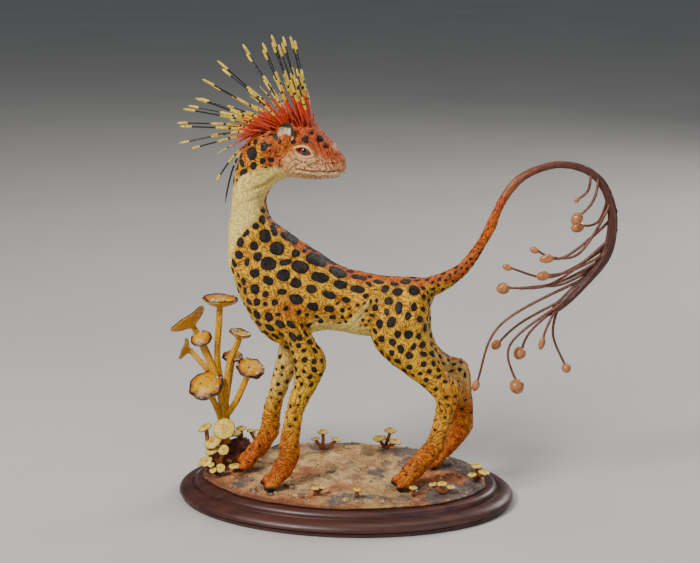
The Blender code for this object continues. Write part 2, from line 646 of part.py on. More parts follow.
def build_tall_mushrooms():
    """The tall cluster at the left: eight caps on stems that grow out of one another."""
    x, y = ground_place(*TALL_CLUSTER_PLACE)
    foot = np.array((x, y, standing_level(x, y, TALL_ROOT_RADIUS * TALL_UNIT)))
    bodies = []
    for number, row in enumerate(TALL_MUSHROOMS):
        bend_x, bend_z, cap_x, cap_z, across, radius, *axis, dish = row
        spread = TALL_STEM_SPREAD * math.cos(2.4 * number)
        aside = TALL_STEM_SPREAD * math.sin(2.4 * number)
        points = ((spread * 0.5, aside * 0.5, 0.0), (spread, aside, bend_z * 0.5),
                  (bend_x, across * 0.5, bend_z), (cap_x, across, cap_z))
        stem_rows = [foot + np.array(point) * TALL_UNIT for point in points]
        name = "tall_mushrooms" if number == 0 else f"tall mushroom guide {number}"
        bodies.append(mushroom(name, stem_rows, axis, radius * TALL_UNIT, TALL_STEM_RADIUS * TALL_UNIT, dish,
                               TALL_SIDES, "yellow mushroom"))
    root = root_rings(foot, TALL_ROOT_LEVELS, TALL_ROOT_RADIUS, TALL_UNIT, TALL_SIDES)
    bodies.append(body_from_rings("tall root guide", root, "yellow mushroom"))
    return join(bodies[0], bodies[1:])


def build_pale_mushrooms():
    """The stack of pale little caps in front of the tall cluster, on a common lump of clay."""
    x, y = ground_place(*PALE_CLUSTER_PLACE)
    foot = np.array((x, y, standing_level(x, y, PALE_ROOT_RADIUS * PALE_UNIT)))
    lump = root_rings(foot, PALE_ROOT_LEVELS, PALE_ROOT_RADIUS, PALE_UNIT, PALE_SIDES)
    bodies = [body_from_rings("pale_mushrooms", lump, "pale mushroom")]
    for number, (cap_x, cap_y, cap_z, radius, lean_x, lean_y) in enumerate(PALE_MUSHROOMS):
        start = foot + np.array((cap_x * 0.25, cap_y * 0.25, 1.0)) * PALE_UNIT
        cap = foot + np.array((cap_x, cap_y, cap_z)) * PALE_UNIT
        bend = (start + cap) / 2 - np.array((0.0, 0.0, PALE_STEM_SAG)) * PALE_UNIT
        bodies.append(mushroom(f"pale mushroom guide {number}", (start, bend, cap), (lean_x, lean_y, 1.0),
                               radius * PALE_UNIT, PALE_STEM_RADIUS * PALE_UNIT, 0.2, PALE_SIDES, "pale mushroom"))
    return join(bodies[0], bodies[1:])


def build_small_clumps():
    """The small mushrooms about the ground, a clump to each piece."""
    size = SMALL_MUSHROOM_HEIGHT
    for name, share_x, share_y, caps in SMALL_CLUMPS:
        x, y = ground_place(share_x, share_y)
        level = standing_level(x, y, SMALL_STEM_SHARE * size * 2)
        bodies = []
        for number, (off_x, off_y, height, radius) in enumerate(caps):
            foot = np.array((x + off_x * size * 0.1, y + off_y * size * 0.1, level))
            cap = np.array((x + off_x * size, y + off_y * size, level + height * size))
            label = f"small_mushrooms_{name}" if number == 0 else f"{name} mushroom guide {number}"
            bodies.append(mushroom(label, (foot, cap), (off_x * 0.2, -0.15, 1.0),
                                   radius * size, SMALL_STEM_SHARE * size, 0.25, SMALL_SIDES, "pale mushroom"))
        join(bodies[0], bodies[1:])


def main():
    for old in list(bpy.data.objects):
        bpy.data.objects.remove(old)
    build_base()
    build_ground()
    build_creature()
    build_quills()
    build_tall_mushrooms()
    build_pale_mushrooms()
    build_small_clumps()


if __name__ == "__main__":
    main()
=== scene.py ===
import math

import bmesh
import bpy
import numpy as np
from bpy.props import FloatProperty, FloatVectorProperty, IntProperty, PointerProperty
from bpy.types import Operator, Panel, PropertyGroup
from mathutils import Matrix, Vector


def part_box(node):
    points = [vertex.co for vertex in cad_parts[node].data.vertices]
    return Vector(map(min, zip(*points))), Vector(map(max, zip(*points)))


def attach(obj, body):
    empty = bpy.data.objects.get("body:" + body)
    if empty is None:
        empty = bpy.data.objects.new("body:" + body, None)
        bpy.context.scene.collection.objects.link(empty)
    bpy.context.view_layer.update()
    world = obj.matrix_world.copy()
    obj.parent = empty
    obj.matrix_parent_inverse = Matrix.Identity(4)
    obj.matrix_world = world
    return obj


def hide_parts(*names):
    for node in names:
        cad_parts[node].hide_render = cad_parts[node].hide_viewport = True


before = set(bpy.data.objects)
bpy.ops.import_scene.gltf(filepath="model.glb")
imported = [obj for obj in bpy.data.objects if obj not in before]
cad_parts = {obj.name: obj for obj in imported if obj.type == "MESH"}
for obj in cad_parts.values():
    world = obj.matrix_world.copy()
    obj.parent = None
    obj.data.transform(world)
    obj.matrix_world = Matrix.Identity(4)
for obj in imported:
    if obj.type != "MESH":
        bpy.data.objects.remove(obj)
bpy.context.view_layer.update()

bl_info = {
    "name": "Spotted creature sculpture",
    "version": (1, 0, 0),
    "blender": (4, 5, 0),
    "location": "View3D > Sidebar > Sculpture",
    "description": "Carved and painted surfaces of a spotted, long-necked creature on its base",
    "category": "Object",
}

# Sizes of the solids, in metres, which the surfaces follow
BASE_HALF = (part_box("wooden_base")[1][0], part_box("wooden_base")[1][1])
BASE_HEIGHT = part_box("wooden_base")[1][2]
FOOT_HEIGHT = 0.0018
MOULDING_WIDTH = 0.0052
MOULDING_TOP = 0.0056
LEDGE = 0.0094
GROUND_HALF = (BASE_HALF[0] - LEDGE, BASE_HALF[1] - LEDGE)
GROUND_RIM = 0.0009
GROUND_THICKNESS = 0.0019
GROUND_SLOPE = 0.06
MOUND_HEIGHT = 0.0085
MOUND_REACH = 0.0105
MOUND_PLACE = (-0.845, 0.310)
STONE_SIZE = 0.0030
FOOTPRINT = 0.0042
GAP = 0.0003
UP = (0.0, 0.0, 1.0)
FLOOR = BASE_HEIGHT + GAP

FIGURE_UNIT = 0.143 / 142
FIGURE_SETBACK = -0.006
FIGURE_TURN = 0.15
QUILL_LENGTH = 0.0335
QUILL_RADIUS = 0.00052
QUILLS_IN_A_ROW = 6
QUILL_ROWS = 6
TALL_UNIT = 0.061 / 61
TALL_PLACE = (-0.870, 0.157)
PALE_UNIT = 0.018 / 18
PALE_PLACE = (-0.896, -0.130)
SMALL_HEIGHT = 0.0062

# Body, neck and head: inner outline x, z, outer outline x, z, place across, half width
TRUNK = (
    (33.5, 80.8, 34, 71, 0, 5), (28, 81.4, 29.5, 62, 0, 9.3), (14, 82.3, 12.5, 58.7, 0, 11),
    (0, 85.6, -1, 60.7, 0, 10.8), (-10, 91.9, -11, 60.3, 0, 11.6), (-18, 97.4, -20.5, 54.8, 0, 11.8),
    (-24, 101.8, -29.8, 59.2, 0, 11.4), (-27.5, 105.4, -37.4, 70.2, 0, 10.2),
    (-29, 109.4, -43.3, 87, 0, 8.8), (-29.2, 113, -43.4, 100, 0, 7.6),
    (-28, 115.7, -41.8, 112.5, -0.3, 6.8), (-25.3, 119.2, -40.2, 124.5, -1, 6.8),
    (-21, 121.3, -34, 137, -2, 7.4), (-16.5, 121.4, -24, 142.2, -2.6, 7.8), (-11, 121.1, -13, 143, -3, 7.5),
    (-7.2, 121.1, -8.9, 140.6, -3, 6.7), (-4.2, 121.4, -5.2, 136.9, -3, 5.5),
    (-1.2, 122.1, -2, 133.2, -3, 4.4), (0.9, 123.6, 0.6, 128.8, -3, 2.8),
)

# Legs: front outline x, z, rear outline x, z, place across, half width
LEGS = (
    (
        (-29.6, 79.7, -11.5, 77.2, -4.5, 5.8), (-26, 68, -13.2, 66.8, -6.5, 5.8),
        (-20.4, 59, -10.4, 59, -7.6, 5.2), (-18.2, 52.5, -5.8, 51.8, -8.2, 4.7),
        (-17.6, 44.3, -7, 44.2, -8.6, 4.3), (-20.9, 30.5, -13.9, 30.8, -9.1, 3.2),
        (-23.4, 18.1, -15.7, 18.1, -9.2, 3.2), (-23.9, 12.6, -16, 11.9, -9.2, 3.3),
        (-26.8, 6.9, -18.8, 5.4, -9.2, 3.2), (-27, 4.2, -21.6, 2.6, -9.2, 2.3),
    ),
    (
        (-27, 76, -9.5, 75, 4.5, 5.6), (-26, 64, -11.5, 62.5, 6.5, 5.4), (-25.8, 52.5, -16, 50.8, 8, 4.6),
        (-29.7, 36.3, -22.2, 35.4, 9.8, 3.6), (-33, 24, -26, 24, 10.6, 3.1),
        (-34.8, 14.8, -27.1, 14.3, 10.9, 3.2), (-37.2, 10.4, -29.6, 9.2, 11, 3.3),
        (-40, 6.7, -32.4, 4.6, 11, 3.1), (-40.6, 4, -35.4, 2.4, 11, 2.3),
    ),
    (
        (12.4, 75.5, 33.1, 75.4, -4.5, 6), (10.9, 66.7, 33.3, 68.2, -6.5, 6.6),
        (12.6, 57.7, 34, 60.4, -7.7, 6.3), (18, 51, 37.4, 52.2, -8.4, 5.8),
        (26.4, 44.6, 41.8, 44.8, -8.9, 4.9), (34, 38.6, 46.8, 39.6, -9.4, 4), (37.2, 33, 45, 33, -9.7, 3.4),
        (35, 22, 41.6, 20.6, -10, 3), (32.3, 16.5, 40.2, 14.4, -10.2, 3.3), (24, 6.6, 32.4, 5, -10.5, 3.2),
        (23.4, 3.9, 28.8, 2.5, -10.5, 2.3),
    ),
    (
        (13.5, 75.5, 33, 75.4, 4.5, 6), (12, 66.7, 33.2, 66.5, 6.5, 6.6), (14, 57.5, 33.8, 57.5, 8, 6.2),
        (22.5, 49, 36.4, 50.4, 9.2, 5.4), (31.5, 41.5, 41, 46.4, 10.2, 4.6),
        (38.5, 36.6, 47.6, 43.2, 11, 4), (42, 31, 49.8, 31, 11.4, 3.4), (42.2, 20.5, 50.3, 19.5, 11.9, 3.1),
        (40.5, 15.5, 49.2, 13.2, 12, 3.3), (34.8, 6.6, 42.6, 5, 12, 3.2), (34.2, 3.9, 39.4, 2.5, 12, 2.3),
    ),
)

# A toe: along, drop and radius; each leg has a pair, turned so many degrees from straight ahead
TOE_PATH = (
    (-2.2, 1.4, 2.2), (1.2, -1.2, 2.5), (4, -3.4, 2.5), (6.2, -4.3, 2.1), (7.8, -4.9, 1),
)
TOE_TURNS = (-52.0, 8.0)
TOE_APART = 0.6
TOE_REACH = 7.8

# Ears and eyes: place x, z, middle plane, and how far to each side of it
EARS = (-20.4, 137.4, -2.8, 5.6)
EYES = (-13.2, 132.4, -3.0, 6.0)

# Tail: x, z, place across, radius
TAIL = (
    (30, 76.2, 0, 4.6), (39.5, 80.4, 0, 3.2), (47.5, 86.6, 0, 2.3), (55.4, 99.3, 0, 1.9),
    (61.2, 112.6, 0, 1.7), (69.6, 121.8, 0, 1.5), (83, 125.7, 0, 1.3), (96, 121.3, 0, 1.5),
    (102.9, 108, 0, 1.6), (102, 93, 0, 2), (94.6, 81.2, 0, 2.1), (85, 71.3, 0, 1.9), (79.5, 66, 0, 0.9),
)

# Strands: row of TAIL it parts from, bend x, z, bulb x, z, place across, bulb length, width
STRANDS = (
    (6.7, 93.4, 116, 89.2, 112, -1.5, 2.4, 1.8), (7, 95.3, 112, 89.4, 105.2, -4, 5.2, 4.2),
    (7.5, 97.8, 103.2, 89.8, 100.8, 1.5, 5.2, 4.2), (7.7, 91, 91.8, 78.3, 89.4, -3, 5.6, 3.6),
    (8.1, 85, 88.6, 73.4, 91.5, 3.5, 3.6, 2.8), (8.6, 81, 79.6, 61.8, 77.6, -2.5, 5.2, 4.6),
    (8.8, 81, 81.2, 63.1, 85, 2, 4, 2.6), (9, 88, 85, 77.1, 82.9, -4.5, 5.2, 3.6),
    (9.4, 85.5, 78, 74.3, 76.6, 4, 2, 1.4), (9.2, 84, 79.8, 69, 77.2, -0.5, 2.4, 1.5),
    (9.8, 61.5, 63, 51.9, 37.9, -1, 4.6, 3), (10.6, 69, 62.6, 59.4, 53.6, 2.5, 4.4, 3.6),
    (10.8, 65.2, 55.4, 68.1, 38.1, -3.5, 6, 5.6), (11, 73, 59.8, 68.7, 50.6, 0.5, 5.2, 4.8),
    (11.3, 78.8, 61, 77.3, 55.3, -2.5, 5.2, 2.5), (11.1, 81.6, 57.4, 87.2, 43.7, 3, 4, 3.6),
)
STRAND_RADIUS = 0.55

# Crest: rows of TRUNK where it starts and ends, and how far its own rows part
CREST_START = 14.3
CREST_END = 12.3
CREST_ROW_ANGLE = 13.0
CREST_SPREAD = 7.0

# Lean of the quills along the crest: share of the way from crown to nape, degrees
CREST_LEANS = ((0.0, 101.0), (0.22, 103.5), (0.36, 109.0), (0.45, 119.0), (0.52, 131.0), (0.60, 147.0),
               (0.72, 160.0), (0.84, 172.0), (0.94, 184.0), (1.0, 198.0))
SHORT_QUILL = 0.62

# Thickness of a quill along its bands: share of the length, share of the radius
QUILL_PROFILE = (
    (0, 0.95), (0.05, 1), (0.29, 0.94), (0.325, 0.88), (0.335, 1.06), (0.415, 1.06), (0.425, 0.72),
    (0.445, 0.72), (0.455, 1.06), (0.595, 1), (0.61, 0.6), (0.86, 0.56), (0.88, 0.98), (0.97, 0.92),
    (1, 0.3),
)

# Tall mushrooms: stem bend x, z, cap x, z, place across, cap radius, cap axis x, y, z, dish
TALL_MUSHROOMS = (
    (-2.3, 34, -0.7, 60.5, 0, 7.2, 0.05, 0, 1, -0.35),
    (-4.6, 31, -14.4, 51.5, 1, 8, -0.6, 0.15, 0.76, -0.3),
    (-3, 30, -8.1, 44.6, -3, 4.4, -0.1, -0.55, 0.85, 0.25),
    (-4.5, 27, -17, 38.4, 3.5, 4.6, -0.93, -0.1, 0.35, -0.4),
    (-2.6, 16, -5.9, 25.5, -5, 7.3, -0.12, -0.6, 0.82, 0.18),
    (2.2, 32, 6.8, 46, 2.5, 4.5, 0.25, -0.05, 0.97, -0.35),
    (1.6, 24, 3, 35.3, 5, 4.2, 0.1, -0.35, 0.95, 0.25),
    (5.4, 18, 11.6, 32.4, -1.5, 5.9, 0.3, -0.42, 0.85, 0.18),
)
TALL_STEM_RADIUS = 1.25
TALL_STEM_SPREAD = 0.9
TALL_ROOT_RADIUS = 3.0
TALL_ROOT_LEVELS = ((0.0, 1.0), (2.0, 0.83), (6.0, 0.70), (12.0, 0.50))

# Pale mushrooms: cap x, y, z over the cluster's place, cap radius, lean of the cap x, y
PALE_MUSHROOMS = (
    (3.2, 3.2, 16.6, 4.5, 0.05, -1.3), (-4.6, 2.6, 17, 3, -0.4, -0.25), (-0.9, 0.2, 11.6, 3.7, -0.35, -0.5),
    (3.7, -1.4, 9.2, 2.3, 0.1, -1.2), (-1, -1.4, 8.4, 2.8, -0.25, -0.25), (-5.2, -2, 4.2, 2.2, -0.9, -0.5),
    (-2.6, -4.2, 4.9, 2.6, -0.5, -0.7), (3, -5, 2.6, 2.1, 0, -0.9), (0.5, -7.3, 2.4, 1.5, -0.15, -0.6),
    (-0.4, -6.4, 4.4, 1.4, -0.1, -0.5),
)
PALE_STEM_RADIUS = 0.9
PALE_ROOT_RADIUS = 3.2
PALE_ROOT_LEVELS = ((0.0, 1.0), (2.0, 0.90), (5.5, 0.66), (9.0, 0.36))
PALE_STEM_SAG = 0.4
PALE_DISH = 0.2

# Small clumps: name, place in shares of the ground, and each cap's offset x, y, height and radius in shares
SMALL_CLUMPS = (
    ("mound", -0.77, 0.33, ((0, 0, 0.6, 0.36), (-0.3, -0.7, 0.45, 0.44))),
    ("back_left", -0.65, 0.4, ((0, 0, 1.05, 0.4), (-0.55, -0.2, 1.2, 0.26))),
    ("front_of_mound", -0.76, -0.14, ((0, 0, 0.35, 0.4),)),
    ("back_middle", -0.208, 0.572, ((0, 0, 1.25, 0.38), (-0.5, -0.2, 0.8, 0.28), (0.85, 0.45, 0.6, 0.3))),
    ("back_right", 0.226, 0.705, ((0.35, 0.3, 1.15, 0.42), (-0.35, 0, 0.65, 0.46), (0.75, -0.25, 0.55, 0.42))),
    ("right", 0.91, -0.03, ((0, 0, 0.85, 0.36), (0.5, -0.6, 0.65, 0.36), (-0.25, -0.75, 0.5, 0.3))),
    ("front_right", 0.694, -0.465, ((0, 0, 0.6, 0.34), (-0.6, 0.1, 0.5, 0.26), (0.55, -0.1, 0.45, 0.28))),
    ("front_middle", 0.507, -0.572, ((0, 0, 0.5, 0.28),)),
    ("front_centre", 0.139, -0.678, ((0, 0, 0.45, 0.27),)),
    ("front_left", -0.142, -0.686, ((0, 0, 0.45, 0.28), (0.4, 0.35, 0.4, 0.24))),
)
SMALL_STEM_SHARE = 0.11
SMALL_FOOT_SHARE = 0.22
SMALL_DISH = 0.25

# Stones in the ground: place in shares of its half length and half depth, and size in shares
STONES = (
    (-0.694, -0.505, 1), (-0.573, -0.652, 0.8), (0.312, -0.718, 0.7), (0.868, -0.319, 0.8),
    (0.521, 0.638, 0.9), (-0.521, 0.585, 1.1),
)

# Large markings on each flank, the neck and the head: x, z, half length, half height, tilt in degrees
MARKINGS = (
    (-32.4, 132, 1.9, 2.7, 15), (-28.1, 134.4, 1.3, 1.7, 0), (-35.5, 124.2, 1.8, 1.3, 35),
    (-31.8, 126.9, 1.5, 1.3, 20), (-28.6, 128.8, 1.1, 1.3, 0), (-25.5, 129.3, 1.2, 1, 0),
    (-36.3, 128.4, 0.9, 1.7, 15), (-38.2, 120.8, 0.8, 1.9, 15), (-25.7, 138.7, 0.9, 0.8, 0),
    (-23.8, 138.3, 0.9, 1.1, 0), (-28.2, 138.4, 0.6, 0.6, 0), (-24.5, 140.3, 0.6, 0.6, 0),
    (-17.2, 135.9, 0.9, 0.9, 0), (-13, 136.8, 1.3, 1.5, 0), (-10.6, 139.7, 0.9, 0.8, 0),
    (-7.5, 137.1, 1.4, 1.2, -10), (-4.9, 134.5, 0.8, 0.8, 0), (-25.6, 134.7, 0.6, 0.9, 0),
    (-19.7, 133.7, 0.4, 0.3, 0), (-20.9, 132.2, 0.3, 0.3, 0), (-22.2, 132.8, 0.4, 0.3, 0),
    (-29.3, 106.4, 1.1, 1.7, 0), (-27.1, 107.4, 0.6, 0.6, 0), (-24.9, 102.8, 1.3, 2.7, 20),
    (-19.2, 99.6, 3.5, 1.8, -28), (-28.4, 99.9, 2.4, 2.8, 15), (-13.4, 94.3, 0.9, 1, 0),
    (-8.7, 90.5, 4.2, 2.8, -14), (-0.9, 85.8, 3.5, 2.1, -20), (7.3, 83.6, 3.2, 1.2, -10),
    (14.9, 82.1, 2.1, 1, -8), (20.7, 81.2, 1.7, 0.9, -5), (-23.8, 95, 2.8, 2.6, 0),
    (-32.5, 96.5, 1.8, 1.8, 0), (-30.7, 92.3, 1.8, 1.8, 0), (-26.9, 89.1, 2.7, 2.7, 0),
    (-20.5, 89.9, 2.4, 1.5, 10), (-15, 88, 3.3, 2.7, -25), (-7.5, 83.7, 3.4, 2.1, -15),
    (0.1, 80.9, 2.8, 1.9, -15), (6.5, 79, 2.7, 1.4, -15), (13.1, 78.7, 1.7, 0.5, 8),
    (-34.8, 89.8, 1, 1.6, 0), (-32.4, 85.8, 2, 1.8, 0), (-21.6, 84.6, 2.4, 2.3, 0),
    (-16.7, 81.6, 2.2, 1.9, -15), (-26.8, 82.5, 2.1, 1.8, -20), (-11, 79, 2, 1.7, -15),
    (-4.2, 77.1, 2.6, 1.5, -14), (2.4, 75.1, 2, 1.3, -20), (-35.8, 78.7, 0.8, 1.8, 0),
    (-32.3, 79.2, 1.7, 2.4, 12), (-28, 77.4, 1.3, 1.4, 0), (-21.9, 78.7, 2, 1.2, -22),
    (-16.3, 75.7, 2.7, 1.9, -5), (-31.4, 74.2, 1.3, 1.6, 0), (-28.3, 73.4, 1, 1.2, 0),
    (-24, 74.4, 1.3, 1.4, 0), (-20.3, 71.8, 1, 1.2, 0), (-10.6, 72.4, 2.6, 1.8, -5),
    (-4, 71.1, 2, 1.4, -14), (0.5, 70.9, 1.1, 1.1, 0), (-31.6, 69.3, 1.3, 2.1, 30),
    (-27.1, 68.4, 1.8, 1.9, -20), (-23.2, 69.5, 1, 0.9, 0), (-15.8, 70.5, 1, 1.2, 0),
    (-12.7, 69, 0.9, 0.8, 0), (-26.9, 64.1, 2.1, 1.2, -42), (-22.6, 65.2, 2.1, 1.4, -45),
    (-18.7, 65.2, 2, 1.2, -50), (-8.8, 68.3, 0.9, 0.7, 0), (-22.9, 61.1, 1.3, 0.8, -30),
    (-18.3, 60.2, 2.1, 1.3, -45), (-24.9, 60.2, 1.8, 0.6, -30), (-15.2, 60.2, 1, 1.3, 0),
    (-20, 57.6, 1.4, 0.7, -30), (-17.1, 56.9, 0.9, 0.6, -20), (-14.6, 56.7, 0.8, 0.8, 0),
    (18.7, 74.2, 1.7, 1.6, 0), (17.4, 70.3, 1.2, 1.3, 0), (15, 66, 1.2, 2, 0), (19.5, 66, 1.8, 2, 0),
    (17.3, 60, 1.4, 1.8, 0), (21.8, 61.5, 1.3, 1.5, 0), (22.2, 71.6, 1.5, 2.6, 0),
    (19.4, 57.4, 0.9, 1.2, 0), (14.1, 74.6, 0.6, 0.9, 0), (11.6, 74.2, 0.6, 0.8, 0),
    (9.2, 73.6, 0.5, 0.6, 0), (5.7, 70.2, 0.6, 0.5, 0),
)

# Markings and folds were drawn on a plane so far before the middle, seen along lines of this slope in x and z
DRAWN_PLANE = 9.0
DRAWN_DEPTH = 0.35
SIGHT_SLOPE = (0.126, 0.227)
SIGHT = (0.124, 0.967, 0.223)

# Size of the smaller markings between them: x, z, radius
MARKING_SIZES = (
    (-10, 95, 2.4), (5, 88, 1.8), (-20, 92, 2), (-30, 98, 1.6), (-33, 108, 1.4), (-34, 118, 1.2),
    (-34, 132, 1.2), (-24, 130, 0.35), (-34, 75, 1.4), (-25, 72, 1.4), (-10, 80, 1.6), (10, 80, 1.3),
    (24, 76, 2.2), (18, 66, 1.8), (28, 66, 1.6), (26, 56, 1.3), (33, 47, 1), (40, 40, 0.8), (40, 30, 0.6),
    (36, 15, 0.45), (-15, 60, 1.1), (-12, 50, 1), (-15, 40, 0.8), (-18, 30, 0.65), (-20, 15, 0.45),
    (-30, 40, 0.8), (-32, 20, 0.45), (-25, 138, 0.8), (-15, 136, 0.5), (-8, 136, 0.5), (45, 85, 0.7),
    (36, 79, 0.9), (55, 98, 0.4), (-20, 52, 1.2), (2, 70, 0.9), (8, 66, 0.6),
)

MOST_MARKINGS = 900

# Cream band from the jaw round the near side of the neck to the chest: x, across, z, half width
CREAM = (
    (-14, -3, 119.5, 4), (-20, -4.5, 120, 5), (-27, -8, 119.5, 6), (-35, -7.5, 115, 7),
    (-40.5, -4, 107, 7.5), (-43, -1.5, 98, 7), (-43.5, 0, 87, 5.5), (-40, 0, 75, 4), (-35, 0, 66, 3),
)

# Top of the cream on the belly: places x and heights z
BELLY_LINE = ((-14, -8, 0, 4, 6.5, 9.5, 13, 18, 24), (58, 64.5, 66, 67, 70, 73.4, 76, 77.4, 76))

# Folds of the hide on each side: half width, height (below zero a crease), and points x, z
FOLDS = (
    (0.8, 0.85, ((4, 66), (6.5, 69.5), (9.5, 73), (13, 76), (17, 77.4), (21, 77.6), (25, 76))),
    (0.7, 0.35, ((-11, 62), (-8, 65.5), (-3, 67.6), (2, 68.2), (5.5, 69.2))),
    (0.5, -0.45, ((5.2, 64.6), (8, 68.4), (11, 71.8), (14.5, 74.2))),
    (0.4, -0.35, ((9, 66), (11, 69.6), (13.6, 72.6))),
    (0.4, 0.3, ((10.6, 64), (12.2, 68), (14.8, 71.4))),
    (0.5, -0.5, ((-21.5, 74.5), (-19.4, 70.5), (-17.8, 66.5), (-14.5, 61), (-13, 58.5))),
    (0.5, 0.35, ((-20, 75.4), (-17.8, 71), (-16, 66.6), (-13.2, 62))),
    (0.45, -0.4, ((-17.6, 73), (-15, 68), (-12.6, 64.6), (-10.6, 63))),
    (0.45, -0.4, ((-25, 76.6), (-23, 72), (-21.6, 66.6), (-20.2, 62.6), (-17, 57.6))),
    (0.5, 0.35, ((-14, 76.6), (-12.6, 71), (-8, 67))),
    (0.4, -0.3, ((-12, 75), (-9, 70), (-3.5, 68.6))),
    (0.4, -0.35, ((-12.5, 58), (-10, 55.4), (-7.6, 54))),
    (0.4, -0.3, ((-16.6, 50), (-12.6, 48.6), (-8.6, 47.8))),
    (0.5, -0.35, ((12, 58), (16, 54.6), (20, 51.4), (26, 47))),
    (0.5, -0.35, ((30, 48), (35.5, 44.6), (40, 42.6))),
    (0.45, -0.35, ((34, 42), (38, 38.6), (43, 37.4))),
    (0.4, -0.3, ((36.6, 31), (40, 30), (44, 30.6))),
    (0.5, -0.35, ((-36, 117), (-30, 119), (-25.6, 122), (-22, 124.4))),
    (0.5, -0.3, ((-38, 112.6), (-32, 114.4), (-27.4, 117.4))),
    (0.4, -0.25, ((-33, 122), (-28.4, 124.6), (-23, 127.6))),
    (0.6, -0.4, ((30, 73), (34, 76), (38.6, 78))),
    (0.5, 0.3, ((-29, 103.6), (-24, 98), (-17.6, 94.6), (-12, 90))),
)

# Mouth line, the nostril's place, and bumps and hollows of the face: x, z, square of the spread, height
MOUTH = ((-15.8, 125.8), (-13.0, 125.2), (-9.7, 124.8), (-5.1, 124.5), (-1.0, 124.5), (1.8, 124.6))
NOSTRIL = (-2.6, 127.6)
FACE_BUMPS = ((-2.6, 134.2, 2.6, 0.35), (0.6, 128.8, 3.5, 0.5), (-10.5, 142.6, 3.5, 1.3),
              (-7.6, 131.0, 5.0, -0.35))
EYE_RADIUS = 2.35
EYE_DEPTH = 1.15

# Muscles that stand out of the flanks: x, z, spread along x and z, height
MUSCLES = ((-20, 76, 7, 9, 0.7), (24, 68, 8, 9, 0.7), (-12, 52, 4, 4, 0.3), (40, 41, 4, 3, 0.4))

# Joins of trunk, legs, tail and head, where the skin is smoothed: x, z, spread
JOINTS = ((-20, 66, 11), (22, 68, 13), (34, 76, 6), (-20, 136, 4))

# Rows of TAIL where the hide ends and where the bare tail starts and ends
HIDE_END = 4.35
TAIL_START = 4.05
TAIL_END = 12.0
WOUND_FIBRES = 12

# Loose quills: one curls down behind the head, one lies along the nape: x, across, z
CURLED_QUILL = ((-34.6, -2.6, 134.8), (-38.6, -2.8, 132.0), (-43.4, -3.0, 126.2), (-47.2, -3.0, 120.4))
NAPE_QUILL = ((-37.9, -3.6, 131.5), (-40.9, -3.9, 125.0), (-42.9, -3.8, 117.6), (-44.0, -3.4, 112.0))

# Camera, fitted to the oval of the base in the photo, and lights: name, place, size, power, colour
CAMERA_LENS = 85.0
CAMERA_SENSOR = 36.0
CAMERA_AZIMUTH = 7.3
CAMERA_ELEVATION = 12.9
CAMERA_DISTANCE = 0.653
CAMERA_TARGET = (0.002, 0.0, 0.0893)
LIGHTS_TARGET = (0.0, 0.0, 0.08)
LIGHTS = (
    ("key", (-0.42, -0.60, 0.72), 0.34, 11.0, (1.0, 0.965, 0.91)),
    ("fill", (0.75, -0.60, 0.40), 0.80, 2.2, (0.90, 0.95, 1.0)),
    ("top", (0.05, 0.25, 0.95), 0.60, 3.0, (1.0, 0.98, 0.95)),
    ("rim", (0.55, 0.70, 0.50), 0.40, 4.0, (1.0, 0.97, 0.92)),
)
SKY_COLOUR = (0.80, 0.84, 0.90, 1.0)
SKY_STRENGTH = 0.17
STUDIO_HALF = 30.0


def length_property(name, description, default, least=0.0):
    """A length on the panel."""
    return FloatProperty(name=name, description=description, default=default, min=least, unit="LENGTH")


def colour_property(name, description, default):
    """A paint on the panel."""
    return FloatVectorProperty(name=name, description=description, default=default, subtype="COLOR", size=3,
                               min=0, max=1)


class SculptureSizes(PropertyGroup):
    """Sizes of the carving that a user would change."""

    hide_grain: length_property("Hide grain", "Size of the facets the hide is carved in", 0.00058, 0.0004)
    pad_height: length_property("Marking height", "How far a marking stands out of the hide", 0.00014)
    pad_groove: length_property("Marking groove", "Depth of the cut line round a marking", 0.00020)
    marking_gap: length_property("Marking gap", "Hide left between two markings", 0.0010)
    wrinkle: length_property("Wrinkle depth", "Depth of the wrinkles between the markings", 0.00022)
    clay_roughness: length_property("Clay roughness", "Height of the lumps on the clay ground", 0.00062)
    drop_size: length_property("Dew drop size", "Radius of the largest dew drops on the caps", 0.00085)
    bristles: IntProperty(name="Bristles", description="Short bristles between the quills", default=170, min=0)
    pebbles: IntProperty(name="Pebbles", description="Loose pebbles on the clay ground", default=260, min=0)


class SculptureColours(PropertyGroup):
    """Paints that a user would change."""

    hide: colour_property("Hide", "Ground colour of the hide", (0.81, 0.43, 0.014))
    cream: colour_property("Cream", "Throat, chest and belly", (0.90, 0.72, 0.21))
    back: colour_property("Back", "Ridge of the back and lower legs", (0.60, 0.130, 0.006))
    marking: colour_property("Markings", "Dark markings of the hide", (0.012, 0.008, 0.008))
    cheek: colour_property("Cheek", "Cheeks and jaw", (0.82, 0.47, 0.22))
    crown: colour_property("Crown", "Forehead and bridge of the nose", (0.55, 0.095, 0.022))
    wood: colour_property("Wood", "Lacquered base", (0.052, 0.0140, 0.0095))
    cap: colour_property("Yellow caps", "Caps of the tall mushrooms", (0.68, 0.38, 0.001))
    pale: colour_property("Pale caps", "Caps of the small mushrooms", (0.74, 0.62, 0.11))


# Curves and noise

